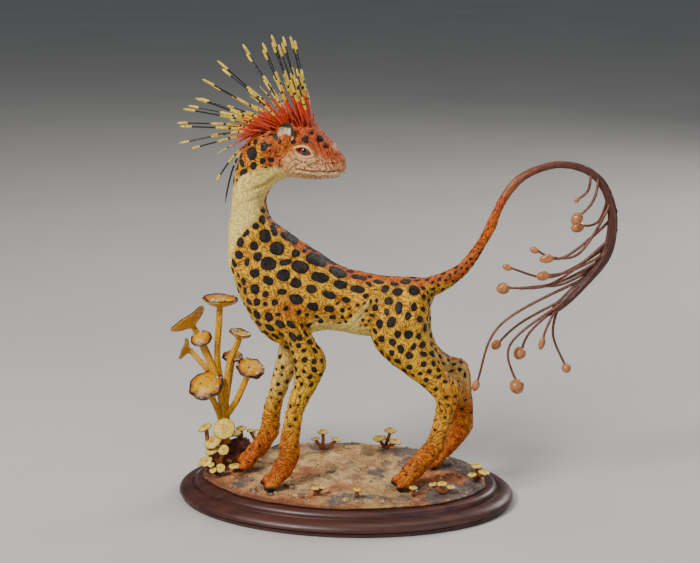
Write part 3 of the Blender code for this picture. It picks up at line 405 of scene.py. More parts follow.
def curve_at(rows, place):
    """Points at fractional row numbers on the Catmull-Rom curve through the rows:
    half of 2b + (c - a)t + (2a - 5b + 4c - d)t^2 + (3b - a - 3c + d)t^3."""
    rows = np.asarray(rows, dtype=float)
    padded = np.vstack((2 * rows[0] - rows[1], rows, 2 * rows[-1] - rows[-2]))
    place = np.asarray(place, dtype=float) + 1
    first = np.clip(place.astype(int), 1, len(padded) - 3)
    t = (place - first)[..., None]
    a, b, c, d = (padded[first + step] for step in (-1, 0, 1, 2))
    square, cube = 2 * a - 5 * b + 4 * c - d, 3 * b - a - 3 * c + d
    return 0.5 * (2 * b + (c - a) * t + square * t ** 2 + cube * t ** 3)


def smooth_rows(rows, steps):
    """The same curve read at so many steps to each span."""
    return curve_at(rows, np.linspace(0, len(rows) - 1, steps * (len(rows) - 1) + 1))


def fade(value, low, high):
    """0 below the low value, 1 above the high one and a smooth 3t^2 - 2t^3 between them."""
    t = np.clip((np.asarray(value, dtype=float) - low) / (high - low), 0.0, 1.0)
    return t * t * (3 - 2 * t)


def hump(value, width):
    """A bell of height one: e to the power of -(value / width)^2."""
    return np.exp(-(value / width) ** 2)


def unit_length(ways):
    """Ways scaled to a length of one."""
    ways = np.asarray(ways, dtype=float)
    return ways / np.linalg.norm(ways, axis=-1, keepdims=True)


def full_turn(sides):
    """So many even angles round a ring."""
    return 2 * np.pi * np.arange(sides) / sides


def value_noise(points, size, seed):
    """Smooth noise from -1 to 1: chance values on a lattice of that size, blended by 3t^2 - 2t^3."""
    place = np.asarray(points) / size
    corner = np.floor(place).astype(np.int64)
    t = place - corner
    t = t * t * (3 - 2 * t)
    total = np.zeros(place.shape[:-1])
    for step in np.ndindex(2, 2, 2):
        at = corner + step
        mixed = at[..., 0] * 73856093 ^ at[..., 1] * 19349663 ^ at[..., 2] * 83492791 ^ seed * 2654435761
        mixed = (mixed ^ (mixed >> 15)) * 2246822519 & 0xFFFFFFFF
        mixed = (mixed ^ (mixed >> 13)) * 3266489917 & 0xFFFFFFFF
        share = np.prod(np.where(step, t, 1 - t), axis=-1)
        total += share * (((mixed ^ (mixed >> 16)) & 0xFFFF) / 32767.5 - 1)
    return total


def layered_noise(points, size, seed, layers=3):
    """Noise of halving size and height, summed."""
    return sum(value_noise(points, size / 2 ** k, seed + k) / 2 ** k for k in range(layers))


def path_distance(points, path):
    """Distance of each point from the nearest stretch of a path, and how far along the path that is."""
    start, end = path[:-1], path[1:]
    way = end - start
    away = points[:, None, :] - start[None]
    share = np.clip(np.sum(away * way, axis=2) / np.sum(way * way, axis=1), 0, 1)
    gaps = np.linalg.norm(away - share[..., None] * way, axis=2)
    nearest = np.argmin(gaps, axis=1)
    rows = np.arange(len(points))
    return gaps[rows, nearest], nearest + share[rows, nearest]


# Heights of the ground and of what stands on it

def ground_place(share_x, share_y):
    """A place on the ground from shares of its half length and half depth."""
    return share_x * GROUND_HALF[0], share_y * GROUND_HALF[1]


def ground_height(x, y):
    """Height of the clay: a slope that rises to the back, a rim, and a steep mound behind the mushrooms."""
    thickness = np.maximum(GROUND_THICKNESS + GROUND_SLOPE * np.asarray(y), GROUND_RIM)
    mound_x, mound_y = ground_place(*MOUND_PLACE)
    mound = MOUND_HEIGHT * np.exp(-(np.hypot(x - mound_x, y - mound_y) / MOUND_REACH) ** 4)
    share = np.minimum(np.hypot(x / GROUND_HALF[0], y / GROUND_HALF[1]), 1.0)
    return FLOOR + thickness * (1 - share ** 8) + mound * (1 - share ** 24) + GROUND_RIM * share ** 8


def standing_level(x, y, radius):
    """The level that clears the ground under a round foot."""
    turns = np.pi * np.arange(8) / 4
    heights = ground_height(x + radius * np.cos(turns), y + radius * np.sin(turns))
    return float(max(heights.max(), ground_height(x, y)) + GAP)


SOLE_LEVEL = float(ground_height(0.0, FIGURE_SETBACK)) + GAP


def figure_point(x, across, z, lift=0.0):
    """Points of the figure's drawing in metres; its middle plane runs aslant over the base."""
    x = np.asarray(x, dtype=float) * FIGURE_UNIT
    y = FIGURE_SETBACK + FIGURE_TURN * x + np.asarray(across) * FIGURE_UNIT
    return np.stack(np.broadcast_arrays(x, y, SOLE_LEVEL + np.asarray(z) * FIGURE_UNIT + lift), axis=-1)


def figure_units(points):
    """The same drawing read backwards: x, across and z of points given in metres."""
    across = (points[..., 1] - FIGURE_SETBACK - FIGURE_TURN * points[..., 0]) / FIGURE_UNIT
    height = (points[..., 2] - SOLE_LEVEL) / FIGURE_UNIT
    return np.stack((points[..., 0] / FIGURE_UNIT, across, height), axis=-1)


# Surfaces of two parameters, and the meshes made of them

def square_ways(axes):
    """Two ways square to each axis, the first of them square to +Y too."""
    side = unit_length(np.cross((0.0, 1.0, 0.0), unit_length(axes)))
    return side, np.cross(unit_length(axes), side)


def spokes(side, other, sides):
    """The ways round a ring: cos a side + sin a other."""
    turns = full_turn(sides)[:, None]
    return np.cos(turns) * side[..., None, :] + np.sin(turns) * other[..., None, :]


def rings_round(centres, axes, radii, sides):
    """Round rings about axes: centre + radius (cos a side + sin a other), side square to +Y and the axis."""
    radii = np.asarray(radii, dtype=float)
    radii = radii[..., None] if radii.ndim < centres.ndim else radii
    return centres[..., None, :] + radii[..., None] * spokes(*square_ways(axes), sides)


def tube(path, radii, sides):
    """Round rings along a path, each square to the path."""
    return rings_round(path, np.gradient(path, axis=0), radii, sides)


def limb(rows, sides, fullness, lift=0.0, lift_top=1.0):
    """A limb between two outlines: superellipse rings |cos|^(2/n), |sin|^(2/n) with a half width across."""
    waves = np.cos(full_turn(sides)), np.sin(full_turn(sides))
    c, s = (np.sign(wave) * np.abs(wave) ** (2 / fullness) for wave in waves)
    x, z = ((rows[:, k:k + 1] + rows[:, k + 2:k + 3]) / 2 + c * (rows[:, k + 2:k + 3] - rows[:, k:k + 1]) / 2
            for k in (0, 1))
    return figure_point(x, rows[:, 4:5] + s * rows[:, 5:6], z, lift * (1 - z / lift_top))


def rounded(grid, depth):
    """The grid with its last ring carried on into a rounded end: it shrinks by cos a and moves by sin a."""
    middle, before = grid[-1].mean(axis=0), grid[-2].mean(axis=0)
    way = (middle - before) / np.linalg.norm(middle - before)
    angles = np.radians((25, 48, 66, 80))[:, None, None]
    more = middle + (grid[-1] - middle) * np.cos(angles) + way * depth * np.sin(angles)
    return np.concatenate((grid, more))


def surface(grid, **values):
    """A closed piece of surface: rings joined round and along, with a pole at the middle of each end."""
    rows, count = grid.shape[:2]
    index = np.arange(rows * count).reshape(rows, count)
    onward = np.roll(index, -1, axis=1)
    quads = np.stack((index[:-1], onward[:-1], onward[1:], index[1:]), axis=-1).reshape(-1, 4)
    low, high = np.full(count, rows * count), np.full(count, rows * count + 1)
    ends = (onward[0], index[0], low), (index[-1], onward[-1], high)
    fans = np.concatenate([np.stack(corners, axis=-1) for corners in ends])
    points = np.concatenate((grid.reshape(-1, 3), grid[:1].mean(axis=1), grid[-1:].mean(axis=1)))
    layers = {}
    for name, value in values.items():
        value = np.asarray(value, dtype=float)
        value = value[:, None] if value.ndim == 1 else value
        value = np.broadcast_to(value, (rows, count))
        layers[name] = np.concatenate((value.ravel(), value[:1].mean(axis=1), value[-1:].mean(axis=1)))
    return {"points": points, "faces": [quads, fans], "layers": layers}


def mesh_of(name, surfaces):
    """One mesh of several surfaces, with their values as point attributes, smooth and facing outwards."""
    mesh = bpy.data.meshes.new(name)
    points = np.concatenate([piece["points"] for piece in surfaces])
    starts = np.cumsum([0] + [len(piece["points"]) for piece in surfaces])
    blocks = [faces + start for piece, start in zip(surfaces, starts) for faces in piece["faces"]]
    sizes = np.concatenate([np.full(len(block), block.shape[1]) for block in blocks])
    mesh.vertices.add(len(points))
    mesh.vertices.foreach_set("co", points.ravel())
    mesh.loops.add(int(sizes.sum()))
    corners = np.concatenate([block.ravel() for block in blocks])
    mesh.loops.foreach_set("vertex_index", corners.astype(np.int32))
    mesh.polygons.add(len(sizes))
    mesh.polygons.foreach_set("loop_start", np.concatenate(([0], np.cumsum(sizes)[:-1])).astype(np.int32))
    mesh.update(calc_edges=True)
    for layer in sorted({key for piece in surfaces for key in piece["layers"]}):
        values = [piece["layers"].get(layer, np.zeros(len(piece["points"]))) for piece in surfaces]
        value = np.concatenate(values)
        mesh.attributes.new(layer, "FLOAT", "POINT").data.foreach_set("value", value.astype(np.float32))
    made = bmesh.new()
    made.from_mesh(mesh)
    bmesh.ops.recalc_face_normals(made, faces=made.faces)
    made.to_mesh(mesh)
    made.free()
    mesh.shade_smooth()
    return mesh


def linked(name, data):
    """An object of that data, in the scene."""
    made = bpy.data.objects.new(name, data)
    bpy.context.scene.collection.objects.link(made)
    return made


def place_mesh(name, mesh, material, slot, *nodes):
    """Link a piece, give it its material, let it ride on the root body and hide the solids that it stands for.
    Its slot is not used.
    """
    piece = linked(name, mesh)
    mesh.materials.clear()
    mesh.materials.append(material)
    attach(piece, "root")
    if nodes:
        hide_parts(*nodes)
    return piece


def place(name, surfaces, material, slot, *nodes):
    """The same for a piece made of surfaces."""
    return place_mesh(name, mesh_of(name, surfaces), material, slot, *nodes)


# Paints

class Paint:
    """A material's node tree: a Principled shader and the pattern nodes that feed it."""

    def __init__(self, name, **settings):
        self.material = bpy.data.materials.new(name)
        self.material.use_nodes = True
        self.tree = self.material.node_tree
        self.shader = self.tree.nodes["Principled BSDF"]
        for socket, value in settings.items():
            self.shader.inputs[socket.replace("_", " ")].default_value = value
        self.place = self.tree.nodes.new("ShaderNodeTexCoord").outputs["Object"]

    def node(self, kind, inputs=(), **settings):
        """A node with its settings, and its inputs set to values or linked to sockets."""
        made = self.tree.nodes.new("ShaderNode" + kind)
        for key, value in settings.items():
            setattr(made, key, value)
        for key, value in dict(inputs).items():
            if isinstance(value, bpy.types.NodeSocket):
                self.tree.links.new(value, made.inputs[key])
            else:
                made.inputs[key].default_value = value
        return made

    def noise(self, scale, detail=3.0, distortion=0.0, stretch=None):
        """Cloudy noise in object space, finer with a larger scale, drawn out by a stretch."""
        where = self.place
        if stretch:
            where = self.node("Mapping", {"Vector": where, "Scale": stretch}).outputs[0]
        inputs = {"Vector": where, "Scale": scale, "Detail": detail, "Distortion": distortion}
        return self.node("TexNoise", inputs).outputs[0]

    def cells(self, scale):
        """Distance from the nearest of scattered points."""
        return self.node("TexVoronoi", {"Vector": self.place, "Scale": scale}).outputs["Distance"]

    def value(self, name):
        """A value that the surface carries at its points."""
        return self.node("Attribute", attribute_name=name).outputs["Fac"]

    def span(self, value, low, high, start=0.0, end=1.0):
        """The value carried from one range to another and held at its ends."""
        inputs = {"Value": value, "From Min": low, "From Max": high, "To Min": start, "To Max": end}
        return self.node("MapRange", inputs).outputs["Result"]

    def sum(self, first, second, operation="ADD"):
        """Two values added, or joined by another operation."""
        return self.node("Math", {0: first, 1: second}, operation=operation).outputs[0]

    def mix(self, share, first, second, blend="MIX"):
        """Two colours mixed by a share."""
        colours = [(*c, 1.0) if isinstance(c, (tuple, list)) and len(c) == 3 else c for c in (first, second)]
        inputs = {0: share, 6: colours[0], 7: colours[1]}
        return self.node("Mix", inputs, data_type="RGBA", blend_type=blend).outputs[2]

    def steps(self, value, stops, sharp=False):
        """Colours along a value, blended or in sharp bands."""
        ramp = self.node("ValToRGB", {"Fac": value})
        ramp.color_ramp.interpolation = "CONSTANT" if sharp else "LINEAR"
        while len(ramp.color_ramp.elements) < len(stops):
            ramp.color_ramp.elements.new(0.5)
        for element, (position, colour) in zip(ramp.color_ramp.elements, stops):
            element.position = position
            element.color = (*colour, 1.0)
        return ramp.outputs["Color"]

    def finish(self, colour, height=None, depth=0.0001, roughness=None):
        """Feed the shader a colour, a relief of that depth in metres and a roughness; give the material."""
        self.tree.links.new(colour, self.shader.inputs["Base Color"])
        if roughness is not None:
            self.tree.links.new(roughness, self.shader.inputs["Roughness"])
        if height is not None:
            bump = self.node("Bump", {"Height": height, "Distance": depth, "Strength": 1.0})
            self.tree.links.new(bump.outputs[0], self.shader.inputs["Normal"])
        return self.material


def carved_strokes(paint, scale, patch, length=0.22):
    """Fine tool strokes: patch by patch the noise is turned about Y by a chance angle, drawn out and folded
    into thin lines, so that short strokes run one way and then another."""
    warp = paint.node("TexNoise", {"Vector": paint.place, "Scale": 260.0, "Detail": 1.0}).outputs["Color"]
    shift = paint.node("VectorMath", {0: warp, "Scale": 0.0022}, operation="SCALE").outputs[0]
    where = paint.node("VectorMath", {0: paint.place, 1: shift}, operation="ADD").outputs[0]
    cell = paint.node("TexVoronoi", {"Vector": where, "Scale": patch}).outputs["Color"]
    angle = paint.span(cell, 0.2, 0.8, -1.1, 1.3)
    turned = {"Vector": where, "Axis": (0.0, 1.0, 0.0), "Angle": angle}
    where = paint.node("VectorRotate", turned, rotation_type="AXIS_ANGLE").outputs[0]
    where = paint.node("Mapping", {"Vector": where, "Scale": (1.0, 1.0, length)}).outputs[0]
    noise = paint.node("TexNoise", {"Vector": where, "Scale": scale, "Detail": 1.5}).outputs[0]
    folded = paint.node("Math", {0: paint.sum(noise, 0.5, "SUBTRACT")}, operation="ABSOLUTE").outputs[0]
    return paint.span(folded, 0.010, 0.060)


def hide_paint(colours):
    """The painted hide: body colours by place, dark markings, washes in the hollows, fine strokes."""
    paint = Paint("painted_hide", Roughness=0.55, IOR=1.45, Specular_IOR_Level=0.3)
    strokes = carved_strokes(paint, 760.0, 150.0)
    hair = carved_strokes(paint, 1300.0, 260.0, 0.30)
    clouds = paint.span(paint.noise(170.0), 0.35, 0.68, 0.0, 0.6)
    spot = paint.value("spot")
    hide = paint.mix(clouds, tuple(colours.hide), (0.90, 0.58, 0.045))
    for name, colour in (("warm", colours.back), ("cream", colours.cream), ("cheek", colours.cheek),
                         ("crown", colours.crown)):
        hide = paint.mix(paint.value(name), hide, tuple(colour))
    wash = paint.mix(paint.value("cream"), (0.21, 0.028, 0.003), (0.40, 0.17, 0.025))
    lines = paint.sum(strokes, paint.span(hair, 0.0, 1.0, 0.45, 1.0), "MINIMUM")
    amount = paint.sum(paint.span(lines, 0.0, 1.0, 0.86, 0.0), paint.value("stroke"), "MULTIPLY")
    hide = paint.mix(amount, hide, wash)
    hide = paint.mix(paint.value("hollow"), hide, (0.13, 0.025, 0.006))
    worn = paint.span(paint.noise(320.0, 2.0), 0.42, 0.62)
    core = paint.mix(worn, tuple(colours.marking), (0.034, 0.021, 0.017))
    core = paint.mix(paint.span(spot, 0.15, 0.9), (0.006, 0.004, 0.004), core)
    hide = paint.mix(paint.span(spot, -0.07, 0.07), hide, core)
    for name, colour in (("red", (0.33, 0.020, 0.012)), ("lid", (0.86, 0.72, 0.36)),
                         ("dark", (0.030, 0.012, 0.012))):
        hide = paint.mix(paint.value(name), hide, colour)
    fine = paint.span(paint.noise(1500.0, 2.0), 0.3, 0.7, 0.0, 0.25)
    carved = paint.sum(paint.sum(strokes, paint.value("stroke"), "MULTIPLY"), fine)
    return paint.finish(hide, carved, 0.00026, paint.span(spot, -0.05, 0.10, 0.55, 0.50))


def eye_paint():
    """A glossy eye: black pupil, dark brown iris and deep red corners, by the angle from its gaze."""
    paint = Paint("glossy_eye", Roughness=0.06, Coat_Weight=1.0, Coat_Roughness=0.02)
    stops = ((0.0, (0.002, 0.002, 0.002)), (0.30, (0.003, 0.003, 0.004)), (0.38, (0.020, 0.016, 0.017)),
             (0.52, (0.060, 0.042, 0.040)), (0.60, (0.008, 0.004, 0.004)), (0.66, (0.40, 0.10, 0.07)),
             (0.80, (0.26, 0.016, 0.012)), (1.0, (0.14, 0.008, 0.006)))
    return paint.finish(paint.steps(paint.value("gaze"), stops))


def ear_paint(colours):
    """An ear: carved cream inside, dark rim, warm hide on its back."""
    paint = Paint("painted_ear", Roughness=0.5)
    strokes = carved_strokes(paint, 1000.0, 90.0, 0.16)
    inside = paint.mix(paint.span(strokes, 0, 1, 0.8, 0.0), (0.80, 0.66, 0.42), (0.30, 0.13, 0.05))
    back = paint.mix(paint.span(strokes, 0, 1, 0.7, 0.0), tuple(colours.back), (0.10, 0.02, 0.01))
    side = paint.mix(paint.value("inside"), back, inside)
    return paint.finish(paint.mix(paint.value("rim"), side, (0.030, 0.028, 0.026)), strokes, 0.00016)


def tail_paint():
    """The bare tail: orange at its root, then reddish brown fibres, with coppery bulbs at the ends."""
    paint = Paint("fibrous_tail", Roughness=0.42, IOR=1.5)
    grain = paint.noise(900.0, 3.0, 0.6, (1.0, 1.0, 0.4))
    along = paint.steps(paint.value("along"), ((0.0, (0.50, 0.13, 0.020)), (0.12, (0.26, 0.055, 0.016)),
                                               (0.26, (0.125, 0.030, 0.014)), (0.6, (0.080, 0.023, 0.015)),
                                               (1.0, (0.13, 0.040, 0.024))))
    strand = paint.mix(paint.span(grain, 0.3, 0.7), (0.15, 0.042, 0.022), (0.27, 0.088, 0.046))
    stem = paint.mix(paint.value("strand"), along, strand)
    stem = paint.mix(paint.span(grain, 0.35, 0.62, 0.55, 0.0), stem, (0.035, 0.010, 0.008))
    stem = paint.mix(paint.value("groove"), stem, (0.028, 0.009, 0.007))
    copper = paint.mix(paint.span(paint.noise(500.0), 0.4, 0.65), (0.50, 0.205, 0.075), (0.33, 0.110, 0.038))
    gloss = paint.span(paint.value("bulb"), 0.0, 1.0, 0.46, 0.24)
    return paint.finish(paint.mix(paint.value("bulb"), stem, copper), grain, 0.00012, gloss)


def quill_paint():
    """Quills: deep red at the root, then yellow and black bands up to a yellow tip."""
    paint = Paint("banded_quill", Roughness=0.33, IOR=1.5)
    yellow, black = (0.72, 0.49, 0.035), (0.008, 0.007, 0.007)
    bands = ((0.0, (0.14, 0.010, 0.005)), (0.07, (0.62, 0.050, 0.008)), (0.33, yellow), (0.42, black),
             (0.45, yellow), (0.60, black), (0.87, yellow))
    tint = paint.mix(paint.span(paint.noise(700.0, 2.0), 0.35, 0.65), (0.72, 0.72, 0.72), (1.2, 1.2, 1.2))
    return paint.finish(paint.mix(1.0, paint.steps(paint.value("band"), bands, True), tint, "MULTIPLY"))


def cap_paint(name, top, rim, under, stem, centre, blotches, line, half_line):
    """A mushroom by its place: stem, underside, a dark line painted round the rim, and a top with dark spots.
    The line's middle and half width are places too, from the stem's foot at 0 to the cap's middle at 1."""
    paint = Paint(name, Roughness=0.42, IOR=1.45)
    warp = paint.sum(paint.value("cap"), paint.span(paint.noise(420.0, 2.0), 0.3, 0.7, -0.014, 0.014))
    dark = (0.016, 0.009, 0.006)
    inner, outer = line - half_line, line + half_line
    stops = ((0.0, tuple(0.35 * c for c in stem)), (0.14, stem), (0.40, stem), (0.50, under),
             (inner - 0.020, under), (inner, dark), (outer, dark), (outer + 0.010, rim), (outer + 0.075, top),
             (0.89, top), (0.95, centre))
    cloud = paint.span(paint.noise(260.0, 4.0, 0.5), 0.32, 0.68, 0.0, 0.35)
    tint = tuple(min(1.0, c * 1.2 + 0.01) for c in top)
    colour = paint.mix(cloud, paint.steps(warp, stops), tint, "MULTIPLY")
    spots = paint.span(paint.cells(300.0), 0.15, 0.19, blotches, 0.0)
    spots = paint.sum(spots, paint.span(paint.value("cap"), 0.44, 0.47), "MULTIPLY")
    colour = paint.mix(spots, colour, (0.040, 0.028, 0.018))
    low = paint.span(paint.noise(900.0), 0.38, 0.5, 0.40, 0.0)
    colour = paint.mix(low, colour, tuple(0.40 * c for c in rim))
    return paint.finish(colour, paint.noise(1100.0, 3.0, 0.4, (1.0, 1.0, 0.5)), 0.00016)


def drop_paint():
    """A clear drop of resin."""
    paint = Paint("clear_drop", Roughness=0.03, IOR=1.36, Transmission_Weight=0.55, Coat_Weight=1.0)
    rim = paint.mix(paint.span(paint.noise(900.0), 0.3, 0.7), (0.86, 0.84, 0.76), (1.0, 1.0, 0.97))
    return paint.finish(rim)


def wood_paint(colours):
    """Turned wood under dark red-brown lacquer: faint grain along the base and a clear coat."""
    paint = Paint("lacquered_wood", Roughness=0.45, IOR=1.45, Coat_Weight=0.15, Coat_Roughness=0.30)
    grain = paint.noise(240.0, 6.0, 0.8, (0.10, 1.0, 1.0))
    wood = tuple(colours.wood)
    dark, light = (tuple(share * c for c in wood) for share in (0.55, 1.5))
    colour = paint.mix(paint.span(grain, 0.35, 0.65), dark, light)
    worn = paint.span(paint.noise(60.0, 5.0), 0.55, 0.75, 0.0, 0.35)
    colour = paint.mix(worn, colour, (0.075, 0.024, 0.016))
    rough = paint.span(paint.noise(90.0, 4.0), 0.3, 0.7, 0.38, 0.52)
    return paint.finish(colour, paint.noise(420.0, 3.0, 0.2, (0.12, 1.0, 1.0)), 0.00005, rough)


def clay_paint():
    """Rough clay: sand in the middle, rust and grey toward the edge, grit, dark patches, a darker band at the
    edge and a painted shadow round each foot.
    """
    paint = Paint("rough_clay", Roughness=0.85)
    clouds = paint.span(paint.noise(190.0, 5.0, 0.6), 0.35, 0.65)
    sand = paint.mix(clouds, (0.38, 0.205, 0.075), (0.62, 0.42, 0.185))
    clouds = paint.span(paint.noise(130.0, 4.0, 0.4), 0.40, 0.62)
    rust = paint.mix(clouds, (0.28, 0.075, 0.020), (0.48, 0.165, 0.050))
    colour = paint.mix(paint.value("rust"), sand, rust)
    colour = paint.mix(paint.value("grey"), colour, (0.115, 0.100, 0.092))
    grit = paint.span(paint.noise(900.0, 3.0), 0.30, 0.48, 0.75, 0.0)
    colour = paint.mix(grit, colour, (0.075, 0.028, 0.012))
    pale = paint.span(paint.noise(700.0, 2.0), 0.60, 0.72, 0.0, 0.55)
    colour = paint.mix(pale, colour, (0.74, 0.58, 0.34))
    # Near black where a painted shadow lies round each foot, and in dark patches and a band along the clay's
    # edge
    colour = paint.mix(paint.value("damp"), colour, (0.022, 0.013, 0.011))
    clouds = paint.span(paint.noise(420.0, 4.0), 0.35, 0.65)
    lump = paint.mix(clouds, (0.045, 0.012, 0.008), (0.19, 0.050, 0.022))
    colour = paint.mix(paint.value("mound"), colour, lump)
    return paint.finish(colour, paint.noise(850.0, 6.0, 0.4), 0.00060)


# The creature's hide

def foot_lifts():
    """How far each foot is lifted from the figure's level to stand on the clay, and where its toes start."""
    feet = []
    for rows in LEGS:
        ankle = rows[-2]
        toe_x, toe_z, across = (ankle[0] + ankle[2]) / 2, (ankle[1] + ankle[3]) / 2, ankle[4]
        foot = figure_point(toe_x - TOE_REACH / 2, across, 0.0)
        lift = standing_level(foot[0], foot[1], TOE_REACH / 2 * FIGURE_UNIT) - foot[2]
        feet.append((toe_x, toe_z, across, lift, foot[2] + lift))
    return feet


def toe(foot, side, degrees):
    """One toe: round rings along its smooth path, flattened where it meets the clay."""
    toe_x, toe_z, across, lift, level = foot
    ahead, aside = math.cos(math.radians(degrees)), math.sin(math.radians(degrees))
    rows = smooth_rows(TOE_PATH, 8)
    middle = across + side * TOE_APART + aside * rows[:, 0]
    path = figure_point(toe_x - ahead * rows[:, 0], middle, toe_z + rows[:, 1], lift)
    grid = rounded(rings_round(path, (-ahead, aside, -0.5), rows[:, 2] * FIGURE_UNIT, 20), 0.0006)
    grid[..., 2] = np.maximum(grid[..., 2], level)
    return surface(grid)


def raw_hide(grain):
    """The body as one skin: trunk, legs, toes and tail root as closed surfaces, fused by a voxel remesh."""
    trunk = rounded(limb(smooth_rows(TRUNK, 10), 90, 2.15), 0.0007)
    surfaces = [surface(rounded(trunk[::-1], 0.0015))]
    for rows, foot in zip(LEGS, foot_lifts()):
        surfaces.append(surface(limb(smooth_rows(rows, 10), 48, 2.2, foot[3], rows[0][1])))
        surfaces += [toe(foot, side, degrees) for side, degrees in zip((-1, 1), TOE_TURNS)]
    places = np.linspace(0.0, HIDE_END, 60)
    tail = curve_at(TAIL, places)
    radii = tail[:, 3] * np.interp(places, (0, 4.0, HIDE_END), (1.0, 0.96, 0.80)) * FIGURE_UNIT
    surfaces.append(surface(tube(figure_point(tail[:, 0], tail[:, 2], tail[:, 1]), radii, 28)))
    for side in (-1, 1):
        rise = np.linspace(-2.4, 2.0, 7)
        lump = figure_point(EARS[0] + 0.2, EARS[2] + side * (EARS[3] + 0.1), EARS[1] - 0.5 + rise)
        surfaces.append(surface(tube(lump, np.array((0.9, 1.7, 2.0, 2.0, 1.7, 1.3, 0.7)) * FIGURE_UNIT, 16)))
    shell = linked("hide shell", mesh_of("hide shell", surfaces))
    fuse = shell.modifiers.new("fuse", "REMESH")
    fuse.mode = "VOXEL"
    fuse.voxel_size = grain
    mesh = bpy.data.meshes.new_from_object(shell.evaluated_get(bpy.context.evaluated_depsgraph_get()))
    bpy.data.objects.remove(shell)
    return mesh


def refine_face(mesh):
    """Split the faces of the face in four, where the eye, the mouth and the nostril need them."""
    made = bmesh.new()
    made.from_mesh(mesh)
    centres = figure_units(np.array([face.calc_center_median() for face in made.faces]))
    wanted = (centres[:, 0] > -21.0) & (centres[:, 2] > 119.0)
    edges = {edge for face, want in zip(made.faces, wanted) if want for edge in face.edges}
    bmesh.ops.subdivide_edges(made, edges=list(edges), cuts=1, use_grid_fill=True)
    made.to_mesh(mesh)
    made.free()


def relaxed(points, edges, share, rounds):
    """Points drawn to the middle of their neighbours and pushed back, which smooths without shrinking."""
    total = len(points)
    count = np.bincount(edges.ravel(), minlength=total)[:, None]
    for _ in range(rounds):
        for factor in (0.60, -0.62):
            near = [np.bincount(edges[:, 0], points[edges[:, 1], k], total)
                    + np.bincount(edges[:, 1], points[edges[:, 0], k], total) for k in range(3)]
            points = points + factor * share[:, None] * (np.stack(near, axis=1) / count - points)
    return points


def read_points(mesh):
    """The mesh's points and outward normals as arrays."""
    points = np.empty(len(mesh.vertices) * 3)
    mesh.vertices.foreach_get("co", points)
    normals = np.empty(len(mesh.vertices) * 3)
    mesh.vertex_normals.foreach_get("vector", normals)
    return points.reshape(-1, 3), normals.reshape(-1, 3)


def within(value, start, full, least_out, out):
    """Rises from 0 at the start to 1, and falls to 0 again between the last two values."""
    return fade(value, start, full) * (1 - fade(value, least_out, out))


def cream_share(unit, normals):
    """How cream the hide is: along the throat and chest band, under the belly and inside the legs."""
    band = smooth_rows(CREAM, 6)
    gaps = np.linalg.norm(unit[:, None, :] - band[None, :, :3], axis=2) - band[:, 3]
    throat = 1 - fade(gaps.min(axis=1) + 0.8 * layered_noise(unit, 4.0, 3), -1.0, 2.6)
    x, across, z = unit.T
    line = np.interp(x, *BELLY_LINE)
    belly = fade(line - z + 0.6 * layered_noise(unit, 3.0, 5), -0.8, 1.0) * fade(x, -15, -10)
    belly *= fade(z, 58.5, 61.0)
    belly *= 1 - fade(x + 0.75 * (line - z) + 0.8 * layered_noise(unit, 4.0, 6), 9.0, 16.0)
    under = fade(-normals[:, 2], 0.25, 0.7) * within(z, 58, 61, 70, 74) * within(x, -16, -10, 14, 20)
    inside = fade(-np.sign(across) * normals[:, 1], 0.15, 0.6) * fade(np.abs(across), 2.0, 4.0)
    inside *= within(z, 24, 40, 62, 68)
    return np.clip(np.maximum.reduce((throat, belly, under, 0.62 * inside)), 0, 1)


def marking_radius(unit):
    """Size of the small markings by inverse-square distance from the listed places, in units."""
    anchors = np.array(MARKING_SIZES, dtype=float)
    gaps = np.hypot(unit[:, 0:1] - anchors[:, 0], unit[:, 2:3] - anchors[:, 1]) + 0.5
    weights = gaps ** -3.5
    return (weights * anchors[:, 2]).sum(axis=1) / weights.sum(axis=1)


def drawn_places(unit):
    """Places as the listed markings and folds were drawn: seen from the front and a little above, on a
    plane before the middle, with the way across counted little."""
    apart = DRAWN_PLANE - np.abs(unit[:, 1])
    x, z = unit[:, 0] + SIGHT_SLOPE[0] * apart, unit[:, 2] + SIGHT_SLOPE[1] * apart
    return np.stack((x, DRAWN_DEPTH * unit[:, 1], z), axis=1)


def large_markings(unit, normals):
    """The listed markings on the near side, and on the far side a little askew: centre, axis, half sizes."""
    chance = np.random.default_rng(5)
    found = []
    drawn = drawn_places(unit)
    for side in (-1, 1):
        facing = normals @ (np.array(SIGHT) * (1, side, 1)) > 0.1
        for x, z, half_length, half_height, tilt in MARKINGS:
            if side > 0:
                x, z = x + chance.uniform(-1, 1), z + chance.uniform(-1, 1)
                tilt += chance.uniform(-12, 12)
            gaps = np.hypot(drawn[:, 0] - x, drawn[:, 2] - z) + np.where(facing, 0, 50)
            turn = math.radians(tilt)
            way = math.cos(turn), 0.0, math.sin(turn)
            found.append((*unit[np.argmin(gaps)], *way, half_length, half_height))
    return found


def small_markings(unit, free, placed, gap):
    """Markings packed into what is left: each next one goes where it lies closest to those already there."""
    chance = np.random.default_rng(9)
    radius = marking_radius(unit) * np.exp(0.30 * value_noise(unit, 3.5, 21))
    gap = gap * (1 + 2.0 * (1 - fade(unit[:, 2], 18, 56)))
    placed = np.array(placed)
    slack = np.full(len(unit), 1e3)
    for centre, half_length, half_height in zip(placed[:, :3], placed[:, 6], placed[:, 7]):
        reach = 0.5 * (half_length + half_height)
        slack = np.minimum(slack, np.linalg.norm(unit - centre, axis=1) - reach - radius - gap)
    slack[~free] = -1
    found = []
    while (open_places := np.flatnonzero(slack > 0)).size and len(found) < MOST_MARKINGS:
        chosen = open_places[np.argmin(slack[open_places] + chance.uniform(0, 0.5, len(open_places)))]
        size = radius[chosen]
        stretch = chance.uniform(1.0, 1.25)
        turn = chance.uniform(0, math.pi)
        found.append((*unit[chosen], math.cos(turn), 0.0, math.sin(turn), size * stretch, size / stretch))
        apart = np.linalg.norm(unit - unit[chosen], axis=1) - size - radius
        slack = np.minimum(slack, apart - gap * (0.6 + 0.4 * radius))
    return found


